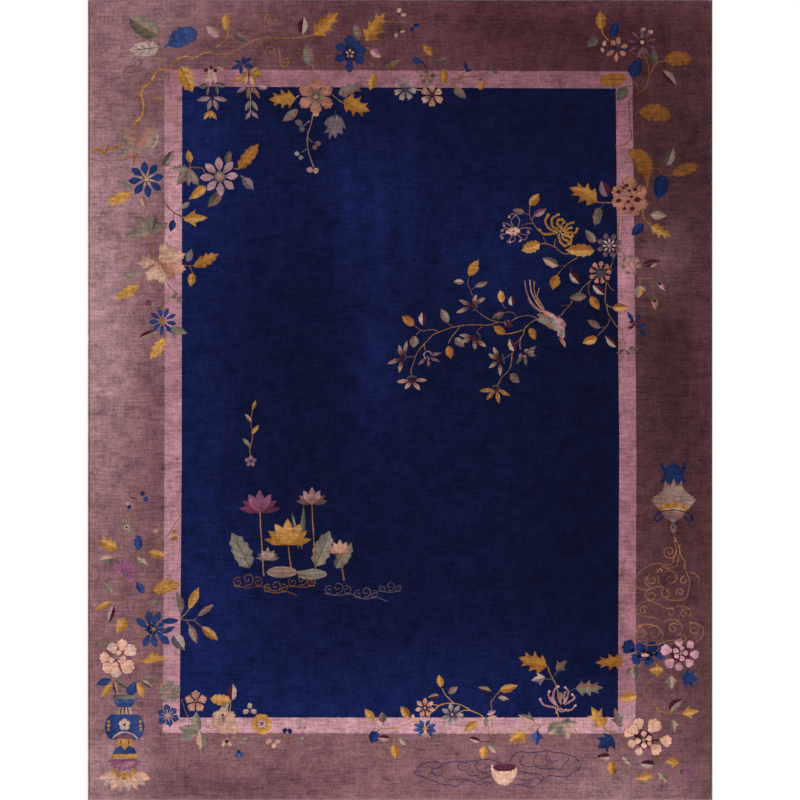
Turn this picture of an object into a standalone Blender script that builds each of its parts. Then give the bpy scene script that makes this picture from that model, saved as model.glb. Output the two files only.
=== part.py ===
"""A Chinese art deco rug, hand-knotted in wool on a cotton foundation, lying flat.

Three sub-parts, as the rug leaves the loom and the finishing bench:
    knotted_rug      pile and foundation, one woven piece, with a plain web at each end
    selvedge_left    wool cord overcast along the left edge
    selvedge_right   the same cord along the right edge

Metres, +Z up. X runs across the rug and Y along it. The origin is on the floor, under its middle.
"""

import math

import bmesh
import bpy

# Driving dimensions
WIDTH = 2.740  # over both selvedges, 9 ft on the loom
LENGTH = 3.513  # over both end webs, 11 ft 6 in
THICKNESS = 0.014  # floor to the tips of the clipped pile
FOUNDATION = 0.004  # cotton warps, wefts and the knots' collars
END_WEB = 0.006  # plain-woven web that stands out past the pile at each end
SELVEDGE_WIDTH = 0.009  # each overcast cord, across the rug
SELVEDGE_HEIGHT = 0.0082
PILE_SETBACK = 0.001  # the outer tufts stand this far in from the foundation's side edge
PILE_ROUND = 0.005  # radius of the pile where it rolls over at its edges
TOUCH = 0.0003  # between a selvedge and the edge that it is sewn to

# How finely the shapes are divided
CELLS_ACROSS = 22
CELLS_ALONG = 28
ROUND_STEPS = 4
CORD_SIDES = 16

# The clipped pile is never quite level: long low swells of this height
SWELL = 0.0005
SWELL_ACROSS = (0.93, 0.41)  # their wavelengths
SWELL_ALONG = (1.27, 0.52)
SWELL_FADE = 6  # power of the fade to nothing at the rug's edges

# Colours, linear RGB, and finish
PILE_COLOUR = (0.016, 0.021, 0.112, 1.0)
SELVEDGE_COLOUR = (0.105, 0.034, 0.045, 1.0)
WOOL_ROUGHNESS = 0.95


def clear_scene():
    for thing in list(bpy.data.objects):
        bpy.data.objects.remove(thing, do_unlink=True)


def wool(name, colour):
    """A matt dyed wool."""
    material = bpy.data.materials.new(name)
    material.use_nodes = True
    shader = material.node_tree.nodes["Principled BSDF"]
    shader.inputs["Base Color"].default_value = colour
    shader.inputs["Roughness"].default_value = WOOL_ROUGHNESS
    shader.inputs["Metallic"].default_value = 0.0
    return material


def add_object(name, mesh_builder, material):
    """Links a new object made from a bmesh and gives it its material."""
    mesh = bpy.data.meshes.new(name)
    bmesh.ops.recalc_face_normals(mesh_builder, faces=mesh_builder.faces)
    mesh_builder.to_mesh(mesh)
    mesh_builder.free()
    mesh.materials.append(material)
    thing = bpy.data.objects.new(name, mesh)
    bpy.context.scene.collection.objects.link(thing)
    return thing


def swell(u, v, half_x, half_y):
    """Height of the pile's slow unevenness at u, v, which run from -1 to 1 over the rug."""
    x = u * half_x
    y = v * half_y
    across = math.sin(math.tau * x / SWELL_ACROSS[0]) + 0.5 * math.sin(math.tau * (x + y) / SWELL_ACROSS[1])
    along = math.cos(math.tau * y / SWELL_ALONG[0]) + 0.5 * math.sin(math.tau * (y - x) / SWELL_ALONG[1])
    fade = (1.0 - abs(u) ** SWELL_FADE) * (1.0 - abs(v) ** SWELL_FADE)
    return 0.5 * SWELL * across * along * fade


def rim_profile():
    """(inset across, inset along, height) of each ring, from the foundation's lower edge up to the pile's top."""
    wall_x = PILE_SETBACK
    wall_y = END_WEB
    rings = [
        (0.0, 0.0, 0.0),
        (0.0, 0.0, FOUNDATION),
        (wall_x, wall_y, FOUNDATION),
    ]
    for step in range(ROUND_STEPS + 1):
        angle = math.radians(90.0) * step / ROUND_STEPS
        inset = PILE_ROUND * (1.0 - math.cos(angle))
        height = THICKNESS - PILE_ROUND + PILE_ROUND * math.sin(angle)
        rings.append((wall_x + inset, wall_y + inset, height))
    return rings


def rim_stations():
    """The lattice points (column, row) that lie on the rug's edge, once round."""
    stations = [(i, 0) for i in range(CELLS_ACROSS)]
    stations += [(CELLS_ACROSS, j) for j in range(CELLS_ALONG)]
    stations += [(i, CELLS_ALONG) for i in range(CELLS_ACROSS, 0, -1)]
    stations += [(0, j) for j in range(CELLS_ALONG, 0, -1)]
    return stations


def add_lattice(builder, rim, half_x, half_y, height, swells):
    """A level or swelling sheet of quads whose edge is the given ring of vertices."""
    on_rim = dict(zip(rim_stations(), rim))
    points = {}
    for i in range(CELLS_ACROSS + 1):
        for j in range(CELLS_ALONG + 1):
            u = 2.0 * i / CELLS_ACROSS - 1.0
            v = 2.0 * j / CELLS_ALONG - 1.0
            lift = swell(u, v, half_x, half_y) if swells else 0.0
            points[i, j] = on_rim.get((i, j)) or builder.verts.new((u * half_x, v * half_y, height + lift))
    for i in range(CELLS_ACROSS):
        for j in range(CELLS_ALONG):
            builder.faces.new((points[i, j], points[i + 1, j], points[i + 1, j + 1], points[i, j + 1]))


def knotted_rug(material):
    """Pile and foundation as one closed solid, with a thin web standing out past the pile at both ends."""
    half_x = WIDTH / 2 - SELVEDGE_WIDTH - TOUCH
    half_y = LENGTH / 2
    builder = bmesh.new()
    profile = rim_profile()
    rings = []
    for inset_x, inset_y, height in profile:
        ring = []
        for i, j in rim_stations():
            u = 2.0 * i / CELLS_ACROSS - 1.0
            v = 2.0 * j / CELLS_ALONG - 1.0
            ring.append(builder.verts.new((u * (half_x - inset_x), v * (half_y - inset_y), height)))
        rings.append(ring)
    for lower, upper in zip(rings, rings[1:]):
        for k in range(len(lower)):
            after = (k + 1) % len(lower)
            builder.faces.new((lower[k], lower[after], upper[after], upper[k]))
    add_lattice(builder, rings[0], half_x, half_y, 0.0, swells=False)
    top_x, top_y, top_height = profile[-1]
    add_lattice(builder, rings[-1], half_x - top_x, half_y - top_y, top_height, swells=True)
    return add_object("knotted_rug", builder, material)


def selvedge(name, side, material):
    """An oval cord the length of the rug, resting on a flat of its section. side is -1 left or 1 right."""
    half_angle = math.pi / CORD_SIDES
    flat_share = math.cos(half_angle)  # how far out a flat lies, where a corner lies at 1
    reach_x = SELVEDGE_WIDTH / 2 / flat_share
    reach_z = SELVEDGE_HEIGHT / 2 / flat_share
    centre_x = side * (WIDTH - SELVEDGE_WIDTH) / 2
    centre_z = SELVEDGE_HEIGHT / 2
    builder = bmesh.new()
    ends = []
    for end_y in (-LENGTH / 2, LENGTH / 2):
        ring = []
        for k in range(CORD_SIDES):
            angle = math.tau * k / CORD_SIDES + half_angle
            x = centre_x + reach_x * math.cos(angle)
            z = centre_z + reach_z * math.sin(angle)
            ring.append(builder.verts.new((x, end_y, z)))
        ends.append(ring)
    near, far = ends
    for k in range(CORD_SIDES):
        after = (k + 1) % CORD_SIDES
        builder.faces.new((near[k], near[after], far[after], far[k]))
    builder.faces.new(near)
    builder.faces.new(far)
    cord = add_object(name, builder, material)
    cord.data.shade_smooth()
    cord.data.set_sharp_from_angle(angle=math.radians(40.0))
    return cord


def main():
    clear_scene()
    pile_wool = wool("pile_wool", PILE_COLOUR)
    selvedge_wool = wool("selvedge_wool", SELVEDGE_COLOUR)
    knotted_rug(pile_wool)
    selvedge("selvedge_left", -1, selvedge_wool)
    selvedge("selvedge_right", 1, selvedge_wool)


main()
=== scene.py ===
# %% [markdown]
# # A Chinese art deco rug
#
# This lesson dresses a plain model of a hand-knotted wool rug. The model already holds
# the rug's real size: one flat pile body and an overcast cord down each long side. Here
# those plain solids get what makes the rug worth looking at: thousands of coloured
# knots drawn as flowers, leaves and a bird, the wandering colour of hand-dyed wool,
# the corded sides and the bare woven ends.
#
# Everything is in metres, with the rug lying on z = 0 and its length along y.

# %% Load the model that is being dressed
import math
import random

import bpy
import numpy as np
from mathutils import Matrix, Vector, noise
from mathutils.geometry import delaunay_2d_cdt


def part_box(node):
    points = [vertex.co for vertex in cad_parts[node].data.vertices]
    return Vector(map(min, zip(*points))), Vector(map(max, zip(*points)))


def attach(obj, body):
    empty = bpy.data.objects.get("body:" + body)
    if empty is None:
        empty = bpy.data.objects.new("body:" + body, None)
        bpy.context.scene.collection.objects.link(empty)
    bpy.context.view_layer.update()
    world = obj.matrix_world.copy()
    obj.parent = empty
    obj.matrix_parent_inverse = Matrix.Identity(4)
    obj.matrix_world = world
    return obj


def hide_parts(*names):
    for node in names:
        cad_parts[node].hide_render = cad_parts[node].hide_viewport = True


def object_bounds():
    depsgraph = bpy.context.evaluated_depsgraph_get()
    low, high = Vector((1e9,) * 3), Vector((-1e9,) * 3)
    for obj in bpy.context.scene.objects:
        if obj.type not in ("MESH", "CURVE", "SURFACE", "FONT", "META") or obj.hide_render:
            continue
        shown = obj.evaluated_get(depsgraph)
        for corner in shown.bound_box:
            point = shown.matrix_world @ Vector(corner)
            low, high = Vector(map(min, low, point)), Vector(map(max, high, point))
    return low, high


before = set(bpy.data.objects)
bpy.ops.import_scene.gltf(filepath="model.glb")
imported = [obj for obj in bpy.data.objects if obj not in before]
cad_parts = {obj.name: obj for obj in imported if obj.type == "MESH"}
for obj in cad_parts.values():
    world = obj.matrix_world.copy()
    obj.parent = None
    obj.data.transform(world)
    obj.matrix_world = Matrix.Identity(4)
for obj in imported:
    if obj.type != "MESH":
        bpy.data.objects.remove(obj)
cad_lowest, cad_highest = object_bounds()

print("model reaches", [round(v, 4) for v in cad_highest])

# %% [markdown]
# ## The chart
#
# A rug like this is woven from a chart: squared paper where one square is one knot.
# So the design below is measured in knots from the middle of the rug, x to the right
# and y towards the far end. The weaver packed 800 rows of knots into the length, which
# sets the size of one knot and turns every chart place into metres.

# %% Chart units and the plan of the rug
ROWS_OF_KNOTS = 800
RUG_LENGTH = cad_highest.y - cad_lowest.y
KNOT = RUG_LENGTH / ROWS_OF_KNOTS

_, body_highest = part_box("knotted_rug")
PILE_TOP = body_highest.z - 0.0005
PILE_SETBACK = 0.001
END_WEB = 0.006
pile_half_x = (body_highest.x - PILE_SETBACK) / KNOT
pile_half_y = (body_highest.y - END_WEB) / KNOT

# %% [markdown]
# ## Tables
#
# A weaver's notes are tables: what to knot, where and in which yarn. Here a table is
# plain text, one row to a line, and its first line names the columns. A place is
# written x,y with no space, so that it reads as one thing. Columns at the end of a row
# may be left off, and the motif then uses its usual value.

# %% Reading a table
def cell(word):
    """A word of a table as a number, a place x,y, nothing, or the word itself."""
    if word == "none":
        return None
    if word.strip("-.,0123456789"):
        return word
    numbers = tuple(float(part) if "." in part else int(part) for part in word.split(","))
    return numbers if len(numbers) > 1 else numbers[0]


def rows(table):
    """The rows of a table, each a list of cells, without the line that names the columns."""
    return [[cell(word) for word in line.split()] for line in table.strip().split("\n")[1:]]


def places(text):
    """A line of places x,y as a list."""
    return [cell(word) for word in text.split()]


print("a row reads", rows("dye middle radius\ngold 12,-3.5 2"))

# %% [markdown]
# ## The dye lots
#
# Each yarn colour gets a name, as the skeins in a workshop would. The numbers are the
# everyday 0-255 screen values, because those are easy to judge, and `linear`
# turns them into the light amounts that a renderer works with.

# %% Named dyes
def linear(screen_colour):
    """An everyday screen colour as linear red, green, blue."""
    shares = [value / 255 for value in screen_colour]
    return [s / 12.92 if s < 0.04045 else ((s + 0.055) / 1.055) ** 2.4 for s in shares]


LINEAR = {name: linear(screen_colour) for name, screen_colour in rows("""
name red,green,blue
navy 13,17,48
ink 10,13,38
cobalt 21,32,84
pink 146,99,109
shell 188,140,149
dusk 108,68,78
mauve 127,88,94
pale_mauve 166,131,135
plum_brown 42,20,23
gold 157,107,50
amber 139,87,40
straw 178,130,75
honey 126,77,38
yellow 186,138,70
buff 128,86,50
ochre 118,76,42
royal 34,50,98
deep_blue 24,36,76
sky 62,80,124
azure 48,62,106
sage 110,101,91
lichen 92,81,71
moss 76,71,63
mist 128,115,104
cream 170,136,118
ivory 164,140,132
bone 136,112,102
salmon 162,108,92
coral 152,98,82
peach 186,140,120
petal 206,158,138
rose 118,84,78
rust 148,102,92
lilac 122,92,104
mallow 136,86,110
magenta 106,54,80
wine 68,27,38
maroon 58,26,31
slate 86,76,84
tendril 138,96,60
bark 122,84,60
blush 158,114,120
dusk_blue 70,60,92
rose_grey 120,92,82
smoke 146,102,70
""")}
print(len(LINEAR), "dyes")

# %% [markdown]
# ## Drawing in knots
#
# A motif is a stack of flat patches of one yarn each, the later ones over the earlier
# ones, just as a weaver changes yarn at a line on the chart. A patch is an outline and
# a dye, and it may fade from one dye to a second along a short run, which is how the
# petals blend from heart to tip. Every helper below only adds patches to one list, and
# the pile is cut along all of them at the end.

# %% The list of patches
patches = []
motif_number = 0


def next_motif():
    """Starts a new motif, so that the pile knows which patches belong together."""
    global motif_number
    motif_number += 1


def patch(outline, dye, end_dye=None, run=None):
    """One area of yarn. It fades to end_dye along run = (start, end), if that is given."""
    patches.append((outline, dye, end_dye or dye, run, motif_number))


def polar(x, y, angle, reach, rise=None):
    """The place reach knots from x, y at angle degrees, on an oval rise knots high if that is given."""
    turn = math.radians(angle)
    return (x + reach * math.cos(turn), y + (rise or reach) * math.sin(turn))


def between(start, end, share):
    """The place that share of the way from start to end."""
    return (start[0] + (end[0] - start[0]) * share, start[1] + (end[1] - start[1]) * share)


def smooth(points, steps=4):
    """A Catmull-Rom curve through points, with steps pieces between each two."""
    last = len(points) - 1
    curve = []
    for i in range(last):
        a, b, c, d = (points[min(max(i + k, 0), last)] for k in (-1, 0, 1, 2))
        for s in range(steps):
            t = s / steps
            curve.append(tuple(
                b[n] + 0.5 * t * (c[n] - a[n] + t * (2 * a[n] - 5 * b[n] + 4 * c[n] - d[n]
                + t * (3 * (b[n] - c[n]) + d[n] - a[n])))
                for n in (0, 1)))
    return [*curve, tuple(points[-1])]


def placer(base, tip, bend=0.0):
    """Turns (share along, knots to the left) into a chart place on the line from base to tip."""
    length = math.dist(base, tip) or 1.0
    ux, uy = (tip[0] - base[0]) / length, (tip[1] - base[1]) / length

    def place(share, left):
        left = left + bend * length * 4 * share * (1 - share)
        return (base[0] + ux * share * length - uy * left, base[1] + uy * share * length + ux * left)

    return place


print("halfway up a bent leaf:", placer((0, 0), (0, 10), bend=0.1)(0.5, 0.0))

# %% [markdown]
# ## Stems
#
# A stem is a ribbon that follows a smooth line through a few points and thins towards
# its end. It could be a curve object lying on the pile, but on the real rug it is
# knotted into it, so it is one more patch.

# %% Stems, curls and round spots
STEM_THINNING = 0.85


def stem(dye, width, end_width, *points):
    """A ribbon of yarn through points, width knots wide at the start."""
    line = smooth(points)
    left, right = [], []
    for i, here in enumerate(line):
        before, after = line[max(i - 1, 0)], line[min(i + 1, len(line) - 1)]
        dx, dy = after[0] - before[0], after[1] - before[1]
        length = math.hypot(dx, dy) or 1.0
        half = (width + (end_width - width) * i / (len(line) - 1)) / 2
        left.append((here[0] - dy / length * half, here[1] + dx / length * half))
        right.append((here[0] + dy / length * half, here[1] - dx / length * half))
    patch(left + right[::-1], dye, None, (points[0], points[-1]))


def curl(dye, width, middle, reach, start, turns):
    """A tendril that winds in from reach to its middle; turns below 0 wind clockwise."""
    count = max(8, int(abs(turns) * 10))
    points = []
    for i in range(count + 1):
        share = i / count
        points.append(polar(*middle, start + 360 * turns * share, reach * (1 - 0.82 * share)))
    stem(dye, width, width * 0.8, *points)


def spot(dye, middle, radius, tall=1.0, turn=0.0, end_dye=None):
    """A round or oval patch; tall stretches it along the turn, in degrees."""
    x, y = middle
    ring = []
    cos_t, sin_t = math.cos(math.radians(turn)), math.sin(math.radians(turn))
    for i in range(12):
        angle = 2 * math.pi * i / 12
        uneven = 1 + 0.22 * noise.noise((x + 0.9 * i, y, 6.0))
        u, v = uneven * radius * tall * math.cos(angle), uneven * radius * math.sin(angle)
        ring.append((x + u * cos_t - v * sin_t, y + u * sin_t + v * cos_t))
    patch(ring, dye, end_dye, ((x, y - radius), (x, y + radius)))


def draw(motif, table):
    """Draws one motif, such as a leaf or a spot, for each row of a table."""
    for row in rows(table):
        motif(*row)


def draw_stems(table):
    """Draws a table of stems, all of one motif."""
    next_motif()
    for dye, width, end_width, *points in rows(table):
        stem(dye, STEM_THINNING * width, STEM_THINNING * end_width, *points)


print("a stem is knotted at", STEM_THINNING, "of the widths in its row")

# %% [markdown]
# ## Leaves
#
# The rug has a few kinds of leaf, each split down its midrib into a lit and a shaded
# half. One side of each kind is described by where its edge runs: how far along the
# leaf, and how far out as a share of the half width. Both halves use the same edge, a
# little uneven, so no two leaves are quite alike.

# %% Leaf kinds
LEAF_EDGES = {kind: edge for kind, *edge in rows("""
kind share_along,share_of_half_width
oval 0.08,0.45 0.24,0.86 0.42,1 0.62,0.9 0.82,0.5
blade 0.12,0.5 0.34,0.92 0.55,1 0.75,0.72 0.9,0.34
broad 0.04,0.4 0.14,0.84 0.3,1.02 0.5,0.98 0.7,0.72 0.86,0.3
toothed 0.1,0.42 0.24,0.66 0.4,1 0.4,0.68 0.63,0.92 0.62,0.56 0.83,0.62 0.82,0.34
wavy 0.05,0.24 0.16,0.6 0.34,1 0.44,0.86 0.56,1.04 0.68,0.8 0.8,0.84 0.92,0.44
maple 0.04,0.26 0.1,0.6 0.3,1.1 0.34,0.56 0.44,0.6 0.74,1 0.66,0.42 0.8,0.28
ivy 0.06,0.26 0.24,0.52 0.5,1.04 0.5,0.52 0.64,0.42 0.84,0.24
ragged 0.06,0.4 0.16,0.86 0.26,0.76 0.36,1.04 0.46,0.86 0.58,1 0.66,0.74 0.78,0.76 0.86,0.4
fern 0.04,0.14 0.12,0.46 0.26,0.98 0.3,0.6 0.38,0.58 0.54,1.04 0.54,0.5 0.64,0.46 0.84,0.74 \
    0.78,0.32 0.88,0.2
""")}
SMOOTH_LEAVES = ("oval", "blade", "broad", "wavy")
SHADE_OF = {
    "gold": "amber", "straw": "gold", "amber": "ochre", "honey": "ochre", "royal": "deep_blue",
    "deep_blue": "royal", "wine": "magenta",
}


def leaf(kind, base, tip, width, left_dye, right_dye, bend=0.0, vein=None):
    """One leaf from its stalk to its tip. Left is to the left of someone walking to the tip."""
    next_motif()
    place = placer(base, tip, bend)
    for side, dye in ((1, left_dye), (-1, right_dye)):
        edge = [(0.0, 0.0)]
        for share, out in LEAF_EDGES[kind]:
            uneven = 1 + 0.14 * noise.noise((base[0] * 3.1 + share * 7, base[1] * 2.7, side * 5.0))
            edge.append((share, side * out * width / 2 * uneven))
        edge.append((1.0, 0.0))
        if kind in SMOOTH_LEAVES:
            edge = smooth(edge, steps=2)
        rib = [(0.75, 0.0), (0.5, 0.0), (0.25, 0.0)]
        patch([place(*p) for p in edge + rib], dye)
    if vein:
        for side in (1, -1):
            for share in (0.24, 0.46, 0.66):
                out = side * width * (0.36 if share < 0.6 else 0.2)
                stem(vein, 0.8, 0.5, place(share, 0.0), place(share + 0.16, out))
        stem(vein, 1.0, 0.6, place(0.02, 0.0), place(0.5, 0.0), place(0.9, 0.0))
    elif math.dist(base, tip) > 12 and left_dye == right_dye:
        stem(SHADE_OF.get(left_dye, left_dye), 0.8, 0.5, place(0.05, 0.0), place(0.88, 0.0))


print(len(LEAF_EDGES), "kinds of leaf")

# %% [markdown]
# ## Flowers
#
# A flower is a ring of petals round an eye. Petals come in a few kinds as well, from
# the round ones of a plum blossom to the long spears of a daisy, and each fades from
# its heart dye to its tip dye. A peony has petals of many sizes, so it is listed petal
# by petal over a dark gap.

# %% Petal kinds
PETAL_EDGES = {kind: edge for kind, *edge in rows("""
kind share_along,share_of_half_width
round 0,0.2 0.3,0.62 0.6,0.98 0.82,0.92 0.96,0.5 1,0
notched 0,0.2 0.3,0.6 0.62,0.98 0.86,0.94 1,0.56 0.98,0.2 0.9,0
drop 0,0.06 0.3,0.4 0.6,0.9 0.8,0.96 0.94,0.56 1,0
spear 0,0.2 0.25,0.66 0.5,1 0.75,0.74 0.9,0.34 1,0
tipped 0,0.14 0.3,0.62 0.56,0.98 0.74,1 0.76,0.66 0.86,0.5 1,0
lobed 0,0.2 0.25,0.6 0.48,0.96 0.68,1 0.8,0.84 0.84,0.6 0.96,0.56 1,0.26 0.95,0
torn 0,0.14 0.3,0.5 0.5,0.76 0.74,1 0.75,0.64 0.9,0.5 0.88,0.3 1,0
""")}
SHARP_PETALS = ("tipped", "torn")


def petal(kind, base, tip, width, dye, tip_dye=None):
    """One petal from base to tip, fading from dye to tip_dye."""
    place = placer(base, tip)
    edge = PETAL_EDGES[kind]
    if kind not in SHARP_PETALS:
        edge = smooth(edge, steps=2)
    half = width / 2
    ring = [place(share, out * half) for share, out in edge]
    ring += [place(share, -out * half) for share, out in edge[-2::-1]]
    patch(ring, dye, tip_dye, (base, tip))


def flower(kind, middle, reach, count, turn, width, dye, tip_dye, eye="gold", eye_size=2.5,
           start=0.16, ring=None, ring_size=0.0, rib=None):
    """A ring of count petals round an eye, the first one pointing turn degrees from +x."""
    next_motif()
    x, y = middle
    for i in range(count):
        angle = turn + 360 * i / count
        out = reach * (1 + 0.08 * noise.noise((x + 3.7 * i, y, 1.5)))
        inner, outer = polar(x, y, angle, start * reach), polar(x, y, angle, out)
        petal(kind, inner, outer, width, dye, tip_dye)
        if rib:
            stem(rib, 0.9, 0.5, inner, between(inner, outer, 0.5))
    if ring:
        patch([polar(x, y, turn + 90 * i / count, ring_size * (1.0 if i % 2 else 0.74))
               for i in range(4 * count)], ring)
    if eye:
        spot(eye, middle, eye_size)


def rosette(heart, gap, gap_reach, table, line="dusk", line_width=1.0):
    """Lobed petals round a dark gap, with a line to each, and a slightly larger dusk petal under each one as
    a painted shade line round it.
    """
    next_motif()
    spot(gap, heart, gap_reach, 1.2, 160)
    for (x, y), radius, dye, tip_dye in rows(table):
        away = math.atan2(y - heart[1], x - heart[0])
        u, v = radius * math.cos(away), radius * math.sin(away)
        # Painted shade: a slightly larger dusk petal under each petal shows round it as a dark line.
        petal("lobed", (x - 1.2 * u, y - 1.2 * v), (x + 1.14 * u, y + 1.14 * v), 2.34 * radius, "dusk")
        stem(line, 2 * line_width, line_width, heart, (x - 0.6 * u, y - 0.6 * v))
        petal("lobed", (x - 1.08 * u, y - 1.08 * v), (x + 1.03 * u, y + 1.03 * v), 2.1 * radius, dye, tip_dye)


def lily(heart, heart_size, dye, tip_dye, *ends):
    """Long separate petals round a dark heart. The ends are a base and a tip for each petal."""
    next_motif()
    width = 4.2 if heart_size > 1.5 else 3.2
    for foot, tip in zip(ends[::2], ends[1::2]):
        base = between(heart, foot, 0.5)
        petal("spear", base, tip, width, dye, tip_dye)
        stem("wine", 1.1, 0.6, base, between(base, tip, 0.5))
    spot("wine", heart, 0.8 * heart_size, end_dye="maroon")


print(len(PETAL_EDGES), "kinds of petal")


# %% [markdown]
# ## The top left spray
#
# The grandest corner of the rug: a gnarled branch climbs out of the border, crosses the
# pink band and hangs its blossoms over the blue field. A leaf row says where the stalk
# meets the leaf, where its tip is, how wide it is and the dyes of its two halves. A
# stem row gives a dye, the two widths and the points that the stem passes.

# %% Top left: branch and leaves
draw_stems("""
dye width end_width places
gold 3 2.2 -265,270 -266,277 -258,283 -256,291 -257,299 -259,306 -256,313 -250,316 -247,320 -243,329 \
    -236,330 -229,333 -222,341
straw 1.2 0.6 -266,275 -258,284 -256,298 -258,307 -248,320 -242,329
straw 1.7 1.4 -222,341 -213,343 -205,342 -196,346 -188,348
tendril 1.5 1.2 -241,330 -238,340 -238,350
buff 1.8 1.2 -250,300 -243,301 -235,301
gold 4.4 2.4 -307,247 -301,250 -295,247 -292,251 -284,252 -276,256
tendril 1.2 0.8 -292,252 -290,257
tendril 1.2 0.8 -308,241 -302,239 -296,237 -292,231 -287,228
gold 1.6 1.2 -188,348 -184,345 -174,346 -167,347 -160,351 -153,355
gold 1.3 1.3 -153,355 -147,359 -140,361 -128,362 -112,361 -100,362 -86,364
gold 1.6 1.2 -172,370 -172,363 -176,358 -184,352
tendril 1 0.8 -135,365 -136,373 -135,380
tendril 0.9 0.7 -120,358 -121,348 -119,338
tendril 1 0.8 -113,361 -106,353 -98,349
rose 1 0.8 -243,364 -239,350 -238,340 -241,330
rose 1 0.8 -263,343 -268,339 -267,332 -261,331
rose 0.9 0.7 -240,311 -237,318
rose 0.9 0.7 -232,316 -228,311
tendril 1 0.8 -165,346 -160,338
tendril 1 0.8 -89,337 -85,328 -84,320
tendril 0.9 0.7 -66,345 -78,339 -70,333
royal 1.6 2 -235,351 -233,354 -228,357
""")
draw(curl, """
dye width middle reach start turns
bark 1.1 -263,336 6 160 -1.2
bark 1.1 -270,325 8 60 1.2
bark 1.1 -240,286 5.2 40 1.2
gold 1.1 -129,379 6.6 180 -1.4
bark 1.1 -146,376 5.4 100 1.2
tendril 1.1 -129,348 6.2 240 -1.3
gold 1.1 -115,338 5.4 170 1.4
bark 1.1 -262,300 4 20 1.1
bark 1.1 -232,322 3.6 200 -1.1
""")
draw(leaf, """
kind base tip width left_dye right_dye bend vein
ragged -242,364 -271,382 20 moss sage 0 ochre
ragged -241,352 -270,349 16 ivory ivory 0 moss
wavy -232,354 -202,368 19 azure azure 0.05 royal
ragged -219,333 -207,307 16 straw gold 0 ochre
oval -180.5,362.5 -194.5,373.5 8.6 blush bone
oval -173.5,369 -174,387 8.6 straw gold
oval -150,357 -168.5,366 8.6 moss rose -0.05
oval -98,365 -96,383 9.4 wine ivory
fern -86,364 -62,387 19 amber gold 0 gold
oval -90,334 -93,356 12 sage rose
fern -104,301 -131,300 19 gold gold
oval -102,290 -117,278 9 rose sage
fern -57,299 -30,288 21 gold amber
fern -62,305 -36,315 15 sage rose
oval -41,360 -45,377 8 sage rose
fern -34,358 -15,387 20 gold amber 0 gold
oval -30,350 -18,342 8 mallow cream
oval -25,326 -30,309 9 gold straw
oval -15,331 1,340 6.5 sage buff
""")
next_motif()
patch(places("""-73,281 -69,284 -63,285 -58,282 -56,277 -53,270 -58,272 -57,265 -62,267
             -64.5,261 -67,265 -71,260 -70.5,267 -76,267 -72,272 -76,276"""),
      "slate", "lilac", ((-64, 286), (-64, 256)))
stem("mist", 0.9, 0.5, (-63, 284), (-65, 272), (-66, 265))
stem("moss", 0.8, 0.6, (-65, 289), (-64, 275), (-64, 266))
print("patches so far", len(patches))

# %% [markdown]
# The two hanging blossoms here are drawn petal by petal, because their petals differ:
# a tuft of long drooping ones, then pairs of leaflets and a last little bell.

# %% Top left: blossoms
draw(leaf, """
kind base tip width left_dye right_dye
blade -189,330 -195,316 5 shell cream
blade -190,331 -189,314 5 cream shell
blade -187,331 -184,315 5 shell cream
blade -183,333 -176,330 3.6 mist cream
blade -192,315 -201,312 5 sage moss
blade -184,316 -174,313 5 moss sage
blade -191,314 -193,304 3.4 sage moss
blade -184,314 -182,305 3.4 sage moss
blade -189,302 -203,299 5 bone lilac
blade -186,302 -172,299 5 lilac bone
blade -189,300 -192,289 4.6 bone lilac
blade -186,300 -182,289 4.6 lilac bone
blade -190,289 -196,280 4 straw gold
blade -189.5,289 -189.5,281 3.6 gold gold
blade -189,289 -183,280 4 gold straw
blade -153,327 -160,331 5 gold straw
blade -149,327 -141,332 5 straw gold
blade -153,323 -165,319 6 gold straw
blade -149,326 -137,325 5.6 straw gold
blade -153,326 -156,315 6 peach gold
blade -149,325 -145,314 6 gold peach
blade -153,313 -163,307 4.6 rose lilac
blade -151,313 -152,301 4 rose bark
blade -148,313 -147,306 3 rose lilac
blade -146,312 -140,301 4 rose bark
oval -142,313 -132,311 5.6 shell lilac
blade -150,299 -154,289 4.4 sage mist
blade -148,299 -142,289 4.4 mist sage
blade -149.5,288 -154,280 3.6 bone lilac
blade -149,289 -141,281 3.6 lilac bone
blade -157,335 -148,342 4.4 deep_blue royal
blade -158,335 -169,330 4.6 royal royal
blade -158,334 -159,325 4.4 royal deep_blue
blade -156,334 -146,332 4.4 deep_blue royal
blade -157,336 -155,343 3.6 deep_blue royal
blade -158,336 -165,339 3.4 royal deep_blue
""")
draw_stems("""
dye width end_width places
maroon 1.2 0.8 -151,330 -151,316
maroon 1 0.8 -187.5,316 -187.5,296
cream 0.9 0.7 -150,308 -149,298 -150,285
maroon 2.4 1 -152,325 -149,324
bone 1 0.8 -37,352 -30,351
tendril 1 0.8 -32,338 -27,335 -26,326
tendril 0.9 0.7 -31,330 -27,335
tendril 0.8 0.6 -16,328 -10,322 -4,314
tendril 1.1 0.8 -12,377 -5,377 5,377 12,374
tendril 0.9 0.7 -9,377 -6,382
cream 1 0.8 -104,302 -101,304
bone 1.2 0.9 -68,305 -62,300 -56,296
bone 1.5 1.2 -87,285 -89,275 -92,265 -92,252 -89,240 -86,232
bone 1.1 0.8 -90,279 -96,274
rose 1.1 0.8 -92,262 -87,257
rose 1.1 0.8 -93,251 -98,247
""")
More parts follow.
